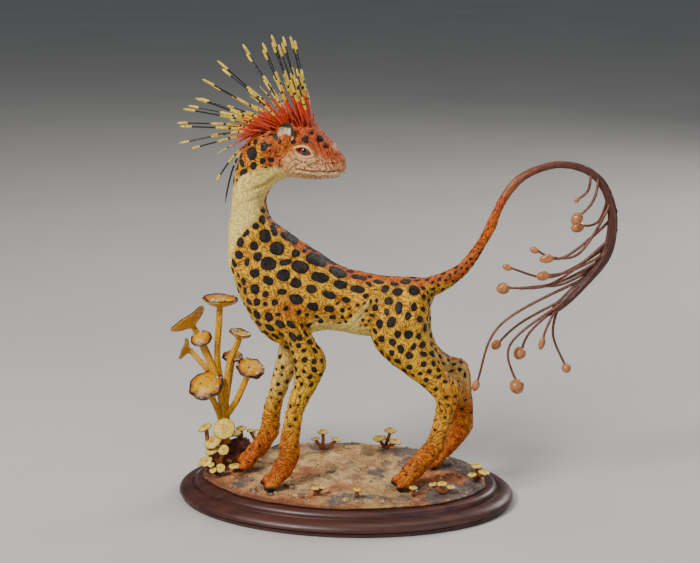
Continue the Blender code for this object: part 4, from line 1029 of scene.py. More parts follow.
def marking_field(unit, markings, drawn=False):
    """Signed distance to the nearest marking's edge, in units and positive inside:
    (1 - (|u/a|^2.3 + |w/b|^2.3)^(1/2.3)) times the root of ab, on places warped a little by noise."""
    markings = np.array(markings)
    warp = [value_noise(unit, 1.7, 31 + k) * 0.34 + value_noise(unit, 4.0, 41 + k) * 0.45 for k in range(3)]
    centre = drawn_places(markings[:, :3]) if drawn else markings[:, :3]
    places = ((drawn_places(unit) if drawn else unit) + np.stack(warp, axis=1)).astype(np.float32)
    centre, way = centre.astype(np.float32), markings[:, 3:6].astype(np.float32)
    a, b = markings[:, 6].astype(np.float32), markings[:, 7].astype(np.float32)
    best = np.empty(len(unit), dtype=np.float32)
    for start in range(0, len(unit), 4096):
        away = places[start:start + 4096, None, :] - centre[None]
        u = np.abs(np.einsum("nkj,kj->nk", away, way))
        w = np.sqrt(np.maximum(np.einsum("nkj,nkj->nk", away, away) - u * u, 0))
        inside = 1 - ((u / a) ** 2.3 + (w / b) ** 2.3) ** (1 / 2.3)
        best[start:start + 4096] = (inside * np.sqrt(a * b)).max(axis=1)
    return best.astype(float)


def eye_shape(unit, side):
    """Place in the eye's slit: along it, across it, and the almond's signed height b(1 - (u/a)^2) - |v|."""
    x, z, middle, apart = EYES
    turn = math.radians(-22)
    along = (unit[:, 0] - x) * math.cos(turn) + (unit[:, 2] - z) * math.sin(turn)
    above = -(unit[:, 0] - x) * math.sin(turn) + (unit[:, 2] - z) * math.cos(turn)
    near = fade(side * (unit[:, 1] - middle), 2.0, 4.0)
    almond = 1.55 * (1 - (along / 3.4) ** 2) - np.abs(above)
    return along, above, almond, near


def carve_face(unit, relief, paints):
    """Eye sockets and lids, brows, the mouth's groove, the nostrils and the bridge of the nose."""
    def lay(name, value):
        paints[name] = np.maximum(paints[name], value)

    for side in (-1, 1):
        along, above, almond, near = eye_shape(unit, side)
        hole = fade(almond, -0.10, 0.45) * near

        def ring(middle, width, start, end):
            return hump(almond + middle, width) * near * (1 - fade(np.abs(along), start, end))

        lid = ring(0.42, 0.42, 3.9, 4.9)
        brow = ring(2.1, 0.8, 3.6, 5.2) * fade(above, 0.4, 1.6)
        pouch = ring(1.7, 0.5, 3.0, 4.6) * fade(-above, 0.4, 1.4)
        crease = ring(1.15, 0.26, 3.4, 4.6)
        relief += -1.5 * hole + 0.42 * lid + 0.40 * brow + 0.22 * pouch - 0.25 * crease
        upper = fade(above, -0.2, 0.5)
        lay("lid", lid * (0.15 + 0.85 * upper) * (1 - fade(almond, -0.35, -0.10)))
        lay("red", hole * 0.9)
        lay("quiet", near * fade(almond, -2.0, -1.0))
    x, across, z = unit.T
    gap, _ = path_distance(unit[:, [0, 2]], smooth_rows(MOUTH, 6))
    front = within(z, 121.5, 122.5, 130, 132) * fade(x, -18.5, -17)
    above = z - np.interp(x, *np.array(MOUTH).T)
    lips = front * fade(x, -17, -14)
    lower_lip = hump(above + 0.90, 0.60) * lips
    relief += -0.55 * hump(gap, 0.30) * front + 0.28 * hump(above - 0.85, 0.55) * lips + 0.24 * lower_lip
    lay("red", 0.9 * hump(gap, 0.24) * front)
    hole = np.hypot((x - NOSTRIL[0]) * 1.3 + (z - NOSTRIL[1]) * 0.5, (z - NOSTRIL[1]) * 0.75)
    facing = fade(np.abs(across + 3.0), 1.6, 2.6)
    relief += (-0.70 * hump(hole, 0.55) + 0.30 * hump(hole - 1.05, 0.45)) * facing
    lay("red", hump(hole, 0.55) * facing)
    for bump_x, bump_z, spread, height in FACE_BUMPS:
        relief += height * np.exp(-((x - bump_x) ** 2 + (z - bump_z) ** 2) / spread)
    lay("lid", 0.5 * lower_lip)
    lay("lid", 0.6 * np.exp(-((x + 1.9) ** 2 + (z - 133.8) ** 2) / 1.6))


def body_paints(unit, cream):
    """Where the hide is warm, with painted shade on the far hind leg, pink on the cheeks, red on the crown,
    and dark at the toe tips and along the bottom of the feet, each from 0 to 1, and the values that the
    carving of the face fills in."""
    x, across, z = unit.T
    drift = layered_noise(unit, 5.0, 71)
    top = np.interp(x, [row[0] for row in TRUNK[8::-1]], [row[1] for row in TRUNK[8::-1]])
    ridge = fade(z - top + 0.8 * drift, -3.4, -0.4) * fade(z, 68, 76) * fade(x, -31, -27)
    shins = (1 - fade(z + 6 * drift, 8, 36)) * 0.9
    # Painted shade: the lower far hind leg takes the darker back colour for the shadow it stands in
    far = fade(across, 3, 7) * (1 - fade(z, 44, 60)) * 0.85 * fade(x, 8, 20)
    nape = fade(-(x + 30) * 0.8 + (z - 128) + 2 * drift, -2, 9) * fade(z, 116, 128) * 0.75
    root = fade(x, 33, 52) * 0.7
    armpit = 0.7 * np.exp(-((x + 18) ** 2 / 40 + (z - 72) ** 2 / 30))
    warm = np.clip(np.maximum.reduce((ridge, shins, far, nape, root, armpit)) + 0.16 * drift + 0.05, 0, 1)
    cheek = fade(x + 0.3 * (130 - z) + drift, -24, -17) * (1 - fade(z - 0.35 * (x + 12) + drift, 132.5, 136))
    cheek = np.clip(cheek * fade(z, 119, 122), 0, 1) * (1 - 0.3 * cream)
    crown = fade(x + 1.1 * (z - 134) + drift, -19, -9) * fade(z + 0.35 * x + 0.6 * drift, 124.0, 129.5)
    crown = np.clip(crown * fade(x, -27, -20), 0, 1)
    turns = [(side, math.radians(degrees)) for side, degrees in zip((-1, 1), TOE_TURNS)]
    tips = np.array([(foot[0] - 7.0 * math.cos(turn), foot[2] + side * TOE_APART + 7.0 * math.sin(turn))
                     for foot in foot_lifts() for side, turn in turns])
    # Dark at the toe tips and along the bottom of the feet, within about a unit and a half of the sole
    toe_tip_gap = np.hypot(x[:, None] - tips[:, 0], across[:, None] - tips[:, 1]).min(axis=1)
    dark = (1 - fade(toe_tip_gap + 0.5 * drift, 1.6, 3.2)) * (1 - fade(z, 1.2, 2.8))
    dark = np.maximum(dark, 0.8 * (1 - fade(z + 0.5 * drift, 0.5, 1.5)))
    return {"warm": warm, "cheek": cheek, "crown": crown, "dark": dark,
            **{name: np.zeros(len(x)) for name in ("lid", "red", "quiet")}}


def folds_of_hide(unit, normals):
    """The listed folds and creases: each a bell across its path, that dies out at its ends."""
    folds = np.zeros(len(unit))
    x = unit[:, 0]
    drawn_on = drawn_places(unit)
    for half_width, height, path in FOLDS:
        near = (x > path[0][0] - 8) & (x < path[-1][0] + 8) & (np.abs(normals[:, 1]) > 0.25)
        gap, reach = path_distance(drawn_on[near][:, [0, 2]], smooth_rows(path, 5))
        ends = np.sin(np.pi * np.clip(reach / (5 * (len(path) - 1)), 0.04, 0.96)) ** 0.6
        folds[near] += height * hump(gap, half_width) * ends
    return folds


def carved_hide(sizes):
    """The finished hide: the fused skin, smoothed, then raised and cut along its normals by the relief."""
    mesh = raw_hide(sizes.hide_grain)
    refine_face(mesh)
    points, _ = read_points(mesh)
    edges = np.empty(len(mesh.edges) * 2, dtype=np.int32)
    mesh.edges.foreach_get("vertices", edges)
    edges = edges.reshape(-1, 2)
    x, _, z = figure_units(points).T
    joins = np.maximum.reduce([np.exp(-((x - join_x) ** 2 + (z - join_z) ** 2) / spread ** 2)
                               for join_x, join_z, spread in JOINTS])
    points = relaxed(points, edges, np.full(len(points), 1.0), 14)
    points = relaxed(points, edges, joins, 40)
    mesh.vertices.foreach_set("co", points.ravel())
    mesh.update()
    points, normals = read_points(mesh)
    unit = figure_units(points)

    cream = cream_share(unit, normals)
    paints = body_paints(unit, cream)
    relief = np.zeros(len(unit))
    carve_face(unit, relief, paints)

    markings = large_markings(unit, normals)
    x, _, z = unit.T
    free = (cream < 0.65) & (z > 5) & (x < 54) & (paints["cheek"] < 0.3) & (paints["quiet"] < 0.2)
    free &= ~((z > 129) & (x > -22)) & (normals[:, 2] > -0.75)
    small = small_markings(unit, free, markings, sizes.marking_gap / FIGURE_UNIT)
    spot = np.maximum(marking_field(unit, markings, drawn=True), marking_field(unit, small))
    spot -= 3 * fade(cream, 0.66, 0.95) + 3 * paints["quiet"] * fade(z, 124, 126)
    pad = fade(spot, -0.02, 0.40)
    rim = hump(spot + 0.20, 0.26)

    folds = folds_of_hide(unit, normals)
    swirl = unit + 2.2 * np.stack([value_noise(unit, 7.0, 81 + k) for k in range(3)], axis=1)
    drawn = np.stack((swirl[:, 0] * 0.8 + swirl[:, 2] * 0.6, swirl[:, 1],
                      (swirl[:, 2] * 0.8 - swirl[:, 0] * 0.6) * 0.36), axis=1)
    wrinkles = 1 - 2.4 * np.abs(value_noise(drawn, 1.25, 91))
    lumps = layered_noise(unit, 6.0, 61, 2)
    muscles = sum(height * hump(x - middle_x, spread_x) * hump(z - middle_z, spread_z)
                  for middle_x, middle_z, spread_x, spread_z, height in MUSCLES)
    depth = sizes.wrinkle / FIGURE_UNIT * (1 - pad) * (1 - 0.85 * paints["quiet"]) * (1 - 0.45 * cream)
    relief += folds * (1 - 0.5 * pad) + depth * wrinkles + 0.22 * lumps + muscles * np.abs(normals[:, 1])
    relief += sizes.pad_height / FIGURE_UNIT * pad - sizes.pad_groove / FIGURE_UNIT * rim
    relief -= 0.12 * pad * np.clip(1 - np.abs(value_noise(drawn, 1.6, 95)) * 5, 0, 1)
    level = min(foot[4] for foot in foot_lifts())
    moved = points + normals * (relief * FIGURE_UNIT)[:, None]
    moved[:, 2] = np.where(points[:, 2] < level + 0.0006, points[:, 2], moved[:, 2])
    mesh.vertices.foreach_set("co", moved.ravel())

    hollow = 0.55 * fade(-folds, 0.06, 0.40) + 0.20 * fade(-wrinkles, 0.1, 1.0) * (1 - 0.6 * cream)
    hollow = np.clip(hollow + 0.4 * rim * (1 - pad), 0, 0.75) * (1 - paints["quiet"])
    stroke = (1 - 0.9 * paints["quiet"]) * (1 - 0.35 * cream) * (1 - 0.6 * pad)
    layers = {"spot": spot, "cream": cream, "hollow": hollow, "stroke": stroke}
    layers.update((key, value) for key, value in paints.items() if key != "quiet")
    for name, value in layers.items():
        mesh.attributes.new(name, "FLOAT", "POINT").data.foreach_set("value", value.astype(np.float32))
    mesh.update()
    mesh.shade_smooth()
    return mesh


def eyeball(side):
    """A ball behind the lids: rings about its gaze, each carrying its angle from the gaze."""
    x, z, middle, apart = EYES
    centre = figure_point(x, middle + side * (apart - EYE_DEPTH), z)
    gaze = unit_length((0.16, side, -0.02))
    side_way = unit_length(np.cross((0.0, 0.0, 1.0), gaze))
    angles = np.linspace(0.02, np.pi - 0.02, 40)
    radius = EYE_RADIUS * FIGURE_UNIT
    middles = centre + np.cos(angles)[:, None] * gaze * radius
    around = spokes(side_way, np.cross(gaze, side_way), 40)
    return surface(middles[:, None, :] + radius * np.sin(angles)[:, None, None] * around, gaze=angles)


def ear(side):
    """A cupped ear: each section is a crescent, w cos a wide, bowed by 1 - cos^2 a and thick by sin a."""
    x, z, middle, apart = EARS
    u = np.linspace(0.0, 1.0, 40)[:, None]
    turn = full_turn(48)[None]
    width = 3.5 * np.sin(np.pi * (0.10 + 0.86 * u ** 0.85)) ** 0.62
    wide = width * np.cos(turn)
    bow = 1.25 * (1 - np.cos(turn) ** 2) * np.sin(np.pi * (0.15 + 0.7 * u))
    lip = 1 + 0.5 * hump(np.abs(np.cos(turn)) - 1, 0.12)
    thick = 0.42 * np.sin(turn) * np.sin(np.pi * (0.12 + 0.80 * u)) ** 0.5 * lip
    rise = -1.6 + 7.6 * u
    lean = math.radians(24)
    forward = x + rise * 0.20 + wide * math.cos(lean) + 0.25
    out = middle + side * (apart + rise * 0.32 + wide * math.sin(lean) * 0.5 + thick - bow + 0.9)
    grid = figure_point(forward, out, z + rise - 0.10 * wide)
    outside = (np.sin(turn) > 0) * np.ones_like(u)
    rim = np.maximum(fade(u, 0.70, 0.80), fade(np.cos(turn), 0.40, 0.62) * fade(u, 0.22, 0.42))
    return surface(grid, inside=outside, rim=np.clip(rim + (1 - outside) * fade(u, 0.55, 0.7), 0, 1))


# The tail

def fibre_tube(path, radii, sides, fibres, twist, depth, phase=0.0):
    """A tube of fibres: its radius r(1 + d cos(ka + ts)) waves round it and winds along it."""
    turns = full_turn(sides)
    along = np.linspace(0, 1, len(path))[:, None]
    wave = np.cos(fibres * turns + twist * along + phase)
    wave += 0.5 * np.cos((fibres + 5) * turns - 1.7 * twist * along + 1)
    grid = tube(path, np.asarray(radii)[:, None] * (1 + depth * wave), sides)
    return grid, fade(-wave, 0.3, 1.3) * 0.75


def tail_surfaces():
    """The bare tail, fibres wound along it, and the strands that part from it with a bulb at each end."""
    places = np.linspace(TAIL_START, TAIL_END, 330)
    rows = curve_at(TAIL, places)
    taper = np.interp(places, (TAIL_START, 4.5, 11.7, TAIL_END), (0.95, 1.02, 0.9, 0.4))
    radii = rows[:, 3] * FIGURE_UNIT * taper
    grid, groove = fibre_tube(figure_point(rows[:, 0], rows[:, 2], rows[:, 1]), radii, 40, 11, 46.0, 0.075)
    made = [surface(grid, along=(places - TAIL_START) / (TAIL_END - TAIL_START), groove=groove)]
    share = np.linspace(0, 1, 90)
    for number in range(WOUND_FIBRES):
        start = 6.2 + 0.33 * number
        rows = curve_at(TAIL, np.linspace(start, min(start + 3.4, 11.9), 90))
        lift = rows[:, 3] * 0.82 * np.sin(np.pi * np.linspace(0.04, 0.96, 90)) ** 0.4
        turn = 2.4 * number + 1.3 * share
        way = unit_length(np.gradient(rows[:, :2], axis=0))
        x = rows[:, 0] - way[:, 1] * np.cos(turn) * lift
        z = rows[:, 1] + way[:, 0] * np.cos(turn) * lift
        path = figure_point(x, rows[:, 2] + np.sin(turn) * lift, z)
        radius = 0.62 * FIGURE_UNIT * np.sin(np.pi * np.linspace(0.06, 0.94, 90)) ** 0.4
        grid, groove = fibre_tube(path, radius, 12, 3, 9.0, 0.10, number)
        made.append(surface(grid, along=0.5 + 0.3 * share, groove=groove, strand=np.full(90, 0.35)))
    return made + [strand(*row) for row in STRANDS]


def strand(leave, bend_x, bend_z, bulb_x, bulb_z, across, length, width):
    """A strand that parts from the tail and bends to its bulb, an ellipsoid w/2 sqrt(1 - (2s/l)^2)."""
    root, part = curve_at(TAIL, leave - 0.25), curve_at(TAIL, leave + 0.1)
    rows = np.array(((root[0], 0.0, root[1]), (part[0], across * 0.2, part[1]), (bend_x, across, bend_z),
                     (bulb_x, across, bulb_z)))
    path = smooth_rows(rows, 26)
    stem = path[np.linalg.norm(path - path[-1], axis=1) > 0.66 * length]
    offsets = np.sin(np.linspace(-np.pi / 2, np.pi / 2, 22)) * 0.5
    offsets = np.concatenate(([-0.62, -0.57], offsets[1:-1], [0.499]))
    bulb_path = rows[-1] + unit_length(path[-1] - path[-3]) * length * offsets[:, None]
    x, y, z = np.concatenate((stem, bulb_path)).T
    swell = width / 2 * np.sqrt(np.clip(1 - (2 * offsets) ** 2, 0.0, 1)) * (1 - 0.18 * offsets)
    thin = np.interp(np.linspace(0, 1, len(stem)), (0, 0.15, 1), (1.45, 1.15, 0.86)) * STRAND_RADIUS
    radii = np.concatenate((thin, np.maximum(swell, np.where(offsets < 0, STRAND_RADIUS * 0.9, 0.06))))
    grid, groove = fibre_tube(figure_point(x, y, z), radii * FIGURE_UNIT, 18, 4, 8.0, 0.05, leave)
    bulb = np.concatenate((np.zeros(len(stem)), fade(offsets, -0.60, -0.46)))
    return surface(grid, along=np.full(len(x), 0.9), groove=groove * (1 - bulb)[:, None],
                   strand=np.ones(len(x)), bulb=bulb)


# The crest

def crest_roots(share, turns):
    """Points of the crown and nape at shares of the crest and angles across, and the ways out there."""
    rows = curve_at(TRUNK, CREST_START + (CREST_END - CREST_START) * share)
    c, s = np.cos(np.radians(turns)), np.sin(np.radians(turns))
    middle = figure_point((rows[:, 0] + rows[:, 2]) / 2, rows[:, 4], (rows[:, 1] + rows[:, 3]) / 2)
    x, z = ((rows[:, k] + rows[:, k + 2]) / 2 + c * (rows[:, k + 2] - rows[:, k]) / 2 for k in (0, 1))
    root = figure_point(x, rows[:, 4] + s * rows[:, 5], z)
    return root, unit_length(root - middle)


def leaning(lean, aside):
    """Ways that lean back from +X by one angle and to the side by another."""
    return np.stack((np.cos(lean) * np.cos(aside), np.sin(aside), np.sin(lean) * np.cos(aside)), axis=1)


def quill_starts():
    """Start, way, droop and length of each quill, the same as the solids'."""
    chance = np.random.default_rng(11)
    row, i = np.divmod(np.arange(QUILL_ROWS * QUILLS_IN_A_ROW), QUILLS_IN_A_ROW)
    short = (i + row) % 3 == 0
    draws = [np.append(chance.random(4 if is_short else 3), 0.0)[:4] for is_short in short]
    turned, spread, cut, clipped = np.array(draws).T
    side = row - (QUILL_ROWS - 1) / 2
    step = row // 2 + QUILL_ROWS // 2 * (row % 2)
    share = (i + (step + 0.5) / QUILL_ROWS) / QUILLS_IN_A_ROW
    root, outward = crest_roots(share, side * CREST_ROW_ANGLE)
    lean = np.radians(np.interp(share, *zip(*CREST_LEANS)) - 1.5 + 3.0 * turned)
    way = leaning(lean, np.radians(side * CREST_SPREAD - 1.0 + 2.0 * spread))
    length = QUILL_LENGTH * (1.0 - 0.07 * cut) * np.where(short, SHORT_QUILL - 0.15 * clipped, 1.0)
    droop = np.stack((-np.sin(lean), np.zeros(len(lean)), np.cos(lean)), axis=1) * (0.04 * length)[:, None]
    return root + outward * (GAP + 0.6 * QUILL_RADIUS) + way * GAP, way, droop, length


def quill(path, stretch):
    """A banded quill: thick in its red root and yellow bands, thin where it is black, tapered to its tip."""
    band = np.linspace(0, 1, len(path)) ** stretch
    return surface(tube(path, QUILL_RADIUS * np.interp(band, *zip(*QUILL_PROFILE)), 9), band=band)


def crest_surfaces():
    """The long quills in the places of the solids."""
    chance = np.random.default_rng(17)
    shares = np.linspace(0, 1, 72)[:, None]
    return [quill(start + way * length * shares + droop * shares ** 2, chance.uniform(0.86, 1.12))
            for start, way, droop, length in zip(*quill_starts())]


def bristle_surfaces(count):
    """Short bristles that fill the crest's foot, some of them small quills with a yellow tip."""
    chance = np.random.default_rng(23)
    share, turn = chance.uniform(-0.02, 1.02, count), chance.uniform(-36, 36, count)
    root, _ = crest_roots(share, turn)
    lean = np.radians(np.interp(share, *zip(*CREST_LEANS)) + chance.uniform(-10, 10, count))
    way = leaning(lean, np.radians(turn * 0.75 + chance.uniform(-8, 8, count)))
    long = chance.random(count) < 0.16
    length = np.where(long, chance.uniform(0.013, 0.020, count), chance.uniform(0.005, 0.0115, count))
    shares = np.linspace(0, 1, 12)[:, None]
    made = []
    for number in range(count):
        bend = np.array((0.0, chance.uniform(-0.1, 0.1), -0.10)) * length[number]
        path = root[number] - way[number] * 0.0006 + way[number] * length[number] * shares + bend * shares ** 2
        radii = np.interp(shares[:, 0], (0, 0.7, 1), (1.0, 0.7, 0.12)) * (0.00040 if long[number] else 0.00030)
        band = 0.05 + 0.27 * shares[:, 0] + (0.62 * fade(shares[:, 0], 0.62, 0.70) if long[number] else 0.0)
        made.append(surface(tube(path, radii, 6), band=band))
    return made


def loose_quills():
    """Two quills that have slipped: one curls down behind the head, one lies along the nape."""
    curl, nape = (smooth_rows(figure_point(*np.array(rows).T), 20) for rows in (CURLED_QUILL, NAPE_QUILL))
    share = np.linspace(0, 1, len(nape))
    radii = QUILL_RADIUS * np.interp(share, (0, 0.1, 0.8, 1.0), (0.9, 0.7, 0.6, 0.2))
    band = np.interp(share, (0, 0.10, 0.14, 0.22, 0.26, 1.0), (0.34, 0.41, 0.43, 0.44, 0.62, 0.86))
    return [quill(curl, 1.0), surface(tube(nape, radii, 9), band=band)]


# Mushrooms

def mushroom(stem_rows, axis, radius, stem, dish, chance, sides, steps, rim_wave=0.035):
    """A mushroom as one surface: rings up its stem, out along the underside, over the rim and in to the top.
    The cap waves by cos ka round its rim, and fine ribs cos na run along its underside."""
    under = 0.55 if dish < 0 else 0.22
    axis = unit_length(axis)
    rows = np.array(stem_rows, dtype=float)
    rows[-1] -= axis * radius * (under + 0.12)
    path = smooth_rows(rows, steps * 2)
    share = np.linspace(0, 1, len(path))[:, None]
    blend = fade(share, 0.55, 1.0)
    ways = unit_length(np.gradient(path, axis=0)) * (1 - blend) + axis * blend
    if len(rows) < 4:
        ways[0] = UP
    turns = full_turn(sides)
    lumps = 1 + 0.08 * np.cos(3 * turns + 9 * share + chance.uniform(0, 6))
    lumps = lumps + 0.05 * np.cos(7 * turns - 14 * share)
    grid = rings_round(path, ways, stem * lumps * (1 + 0.25 * (1 - share) ** 3), sides)
    thin = stem / radius
    profile = smooth_rows(((-under - 0.10, thin), (-under * 0.82, thin * 1.25), (-under * 0.4, 0.72),
                           (-0.03, 0.985), (0.045, 1.0), (0.10, 0.93), ((dish + 0.2) / 2, 0.62),
                           (dish + 0.1, 0.3), (dish + 0.09, 0.03)), steps)
    along, out = profile[:, 0:1], np.maximum(profile[:, 1:2], 0.0)
    count = int(chance.integers(3, 6))
    wave = np.cos(count * turns + chance.uniform(0, 6))
    wave = wave + 0.6 * np.cos((count + 2) * turns + chance.uniform(0, 6))
    notch = 0.012 * np.cos((count + 1) * turns + chance.uniform(0, 6)) + 0.02 * np.cos(9 * turns)
    q = np.linspace(0, 1, len(profile))[:, None]
    ribs = 0.016 * np.cos(34 * turns) * within(q, 0.10, 0.25, 0.36, 0.46) if sides > 40 else 0.0
    height = along + rim_wave * wave * out ** 2.5 + ribs
    height = height + 0.02 * np.cos(5 * turns + 30 * q) * fade(q, 0.6, 0.7) * out
    out = out * (1 + notch * fade(out, 0.3, 1.0))
    centre = np.array(stem_rows[-1])
    side, other = square_ways(axis)
    cap = centre + radius * (height[..., None] * axis + out[..., None] * spokes(side, other, sides))
    places = np.concatenate((0.40 * share, 0.42 + 0.58 * q))[:, 0]
    return surface(np.concatenate((grid, cap)), cap=places), (centre, axis, side, other, radius, dish)


def cluster_foot(shares, radius):
    """Where a cluster with a root of that radius stands on the clay."""
    x, y = ground_place(*shares)
    return np.array((x, y, standing_level(x, y, radius)))


def root_lump(foot, levels, radius, scale, seed):
    """The lump a cluster grows from: level rings made uneven by noise."""
    rows = smooth_rows(levels, 12) * (1.0, radius)
    middles = foot + rows[:, 0:1] * np.array(UP) * scale
    grid = rings_round(middles, UP, rows[:, 1] * scale, 72)
    uneven = 0.90 + 0.14 * layered_noise(grid / scale, 1.6, seed)
    uneven[0] = 0.98
    grid = middles[:, None] + (grid - middles[:, None]) * uneven[..., None]
    grid[0, :, 2] = foot[2]
    return surface(grid, cap=np.full(len(rows), 0.05))


def drops(caps, size, chance, each):
    """Dew drops on the caps: flattened half balls a little sunk into the surface near the rim."""
    made = []
    for centre, axis, side, other, radius, dish in caps:
        for _ in range(each):
            turn, reach = chance.uniform(0, 2 * math.pi), chance.uniform(0.45, 0.95)
            height = np.interp(reach, (0.3, 0.62, 0.93, 1.0), (dish + 0.1, (dish + 0.2) / 2, 0.10, 0.05))
            at = centre + radius * (height * axis + reach * (math.cos(turn) * side + math.sin(turn) * other))
            r = size * chance.uniform(0.45, 1.0)
            angles = np.linspace(0.1, np.pi - 0.1, 10)
            rings = at + (np.cos(angles)[:, None] * r * 0.75 + r * 0.25) * axis
            made.append(surface(rings_round(rings, axis, r * np.sin(angles), 14)))
    return made


def tall_surfaces():
    """The tall cluster: eight caps on stems that grow out of its root, and the drops on the caps."""
    foot = cluster_foot(TALL_PLACE, TALL_ROOT_RADIUS * TALL_UNIT)
    chance = np.random.default_rng(31)
    made, caps = [], []
    for number, (bend_x, bend_z, cap_x, cap_z, across, radius, *axis, dish) in enumerate(TALL_MUSHROOMS):
        spread, aside = TALL_STEM_SPREAD * math.cos(2.4 * number), TALL_STEM_SPREAD * math.sin(2.4 * number)
        points = ((spread * 0.5, aside * 0.5, 0.0), (spread, aside, bend_z * 0.5),
                  (bend_x, across * 0.5, bend_z), (cap_x, across, cap_z))
        shape, cap = mushroom(foot + np.array(points) * TALL_UNIT, axis, radius * TALL_UNIT,
                              TALL_STEM_RADIUS * TALL_UNIT, dish, chance, 96, 8)
        made.append(shape)
        caps.append(cap)
    made.append(root_lump(foot, TALL_ROOT_LEVELS, TALL_ROOT_RADIUS, TALL_UNIT, 5))
    return made, drops(caps, bpy.context.scene.sculpture_sizes.drop_size, chance, 5)


def pale_surfaces():
    """The stack of pale little caps on a common lump of clay."""
    foot = cluster_foot(PALE_PLACE, PALE_ROOT_RADIUS * PALE_UNIT)
    chance = np.random.default_rng(37)
    made = [root_lump(foot, PALE_ROOT_LEVELS, PALE_ROOT_RADIUS, PALE_UNIT, 9)]
    for cap_x, cap_y, cap_z, radius, lean_x, lean_y in PALE_MUSHROOMS:
        start = foot + np.array((cap_x * 0.25, cap_y * 0.25, 1.0)) * PALE_UNIT
        cap = foot + np.array((cap_x, cap_y, cap_z)) * PALE_UNIT
        rows = (start, (start + cap) / 2 - PALE_STEM_SAG * PALE_UNIT * np.array(UP), cap)
        made.append(mushroom(rows, (lean_x, lean_y, 1.0), radius * PALE_UNIT, PALE_STEM_RADIUS * PALE_UNIT,
                             PALE_DISH, chance, 64, 6)[0])
    return made


def small_surfaces(shares, caps, seed):
    """One small clump: short stems from one foot, each with a little domed cap."""
    size = SMALL_HEIGHT
    clump = cluster_foot(shares, SMALL_FOOT_SHARE * size)
    chance = np.random.default_rng(seed)
    made = []
    for off_x, off_y, height, radius in caps:
        foot = clump + np.array((off_x * size * 0.1, off_y * size * 0.1, 0.0))
        cap = clump + np.array((off_x, off_y, height)) * size
        made.append(mushroom((foot, (foot + cap) / 2, cap), (off_x * 0.2, -0.15, 1.0), radius * size,
                             SMALL_STEM_SHARE * size, SMALL_DISH, chance, 36, 4, 0.06)[0])
    return made


# Base and ground

def base_surface():
    """The turned base: an oval swept by its profile of foot, groove, broad moulding, groove and bead."""
    turn, bead = (np.radians(np.linspace(0, 90, steps)) for steps in (18, 12))
    rise = MOULDING_TOP - FOOT_HEIGHT - 0.0005
    inner = MOULDING_WIDTH + 0.0008
    profile = np.concatenate((
        ((0.0013, 0.0), (0.0010, 0.0003), (0.0010, FOOT_HEIGHT - 0.0003), (0.0013, FOOT_HEIGHT),
         (0.0018, FOOT_HEIGHT + 0.0005)),
        np.stack((MOULDING_WIDTH * (1 - np.cos(turn)), MOULDING_TOP - rise * (1 - np.sin(turn))), axis=1),
        ((inner - 0.0002, MOULDING_TOP - 0.0005), (inner + 0.0002, MOULDING_TOP - 0.0005)),
        np.stack((inner + 0.0026 * (1 - np.cos(bead)) + 0.0005,
                  MOULDING_TOP + (BASE_HEIGHT - MOULDING_TOP) * np.sin(bead)), axis=1),
        ((0.020, BASE_HEIGHT), (0.040, BASE_HEIGHT)),
    ))
    inset, level = profile[:, 0:1], profile[:, 1:2]
    x = (BASE_HALF[0] - inset) * np.cos(full_turn(288))
    y = (BASE_HALF[1] - inset) * np.sin(full_turn(288))
    return surface(np.stack(np.broadcast_arrays(x, y, level), axis=-1))


def clay_height(x, y, roughness):
    """The clay's height with its lumps and stones, calm round the feet, and masks for its paint, among them a
    painted shadow round each foot.
    """
    at = np.stack((x, y, np.zeros_like(x)), axis=-1)
    share = np.hypot(x / GROUND_HALF[0], y / GROUND_HALF[1])
    lumps = layered_noise(at, 0.0070, 101, 4) * 0.6 + np.abs(layered_noise(at, 0.0034, 111, 3)) * 0.7 - 0.45
    calm, damp, stone = np.ones_like(x), np.zeros_like(x), np.zeros_like(x)
    for toe_x, _, across, *_ in foot_lifts():
        foot_x, foot_y, _ = figure_point(toe_x - 3.5, across, 0.0)
        calm *= 1 - 0.9 * hump(np.hypot((x - foot_x) / 1.5, y - foot_y), FOOTPRINT)
        # Painted shadow round each foot, set a little toward +x, away from the key light
        damp = np.maximum(damp, hump(np.hypot((x - foot_x - 0.002) / 1.7, y - foot_y), FOOTPRINT))
    for shares, reach in ((TALL_PLACE, 0.0046), (PALE_PLACE, 0.0044)):
        place_x, place_y = ground_place(*shares)
        calm *= 1 - 0.95 * np.exp(-(np.hypot(x - place_x, y - place_y) / reach) ** 4)
    for share_x, share_y, size in STONES:
        stone_x, stone_y = ground_place(share_x, share_y)
        gap = np.hypot(x - stone_x, y - stone_y) / (STONE_SIZE * size)
        gap = gap * (1 + 0.10 * np.cos(5 * np.arctan2(y - stone_y, x - stone_x) + share_x * 9))
        stone = np.maximum(stone, np.clip(1.05 - gap ** 2, 0, 1) * size)
    free = calm * (1 - fade(share, 0.93, 1.0)) * (1 - fade(stone, 0.05, 0.3))
    height = ground_height(x, y) + roughness * lumps * free
    height = height + 0.0016 * np.sqrt(np.clip(stone, 0, 1.2)) * fade(stone, 0.0, 0.15)
    return height, share, fade(stone, 0.05, 0.2), damp


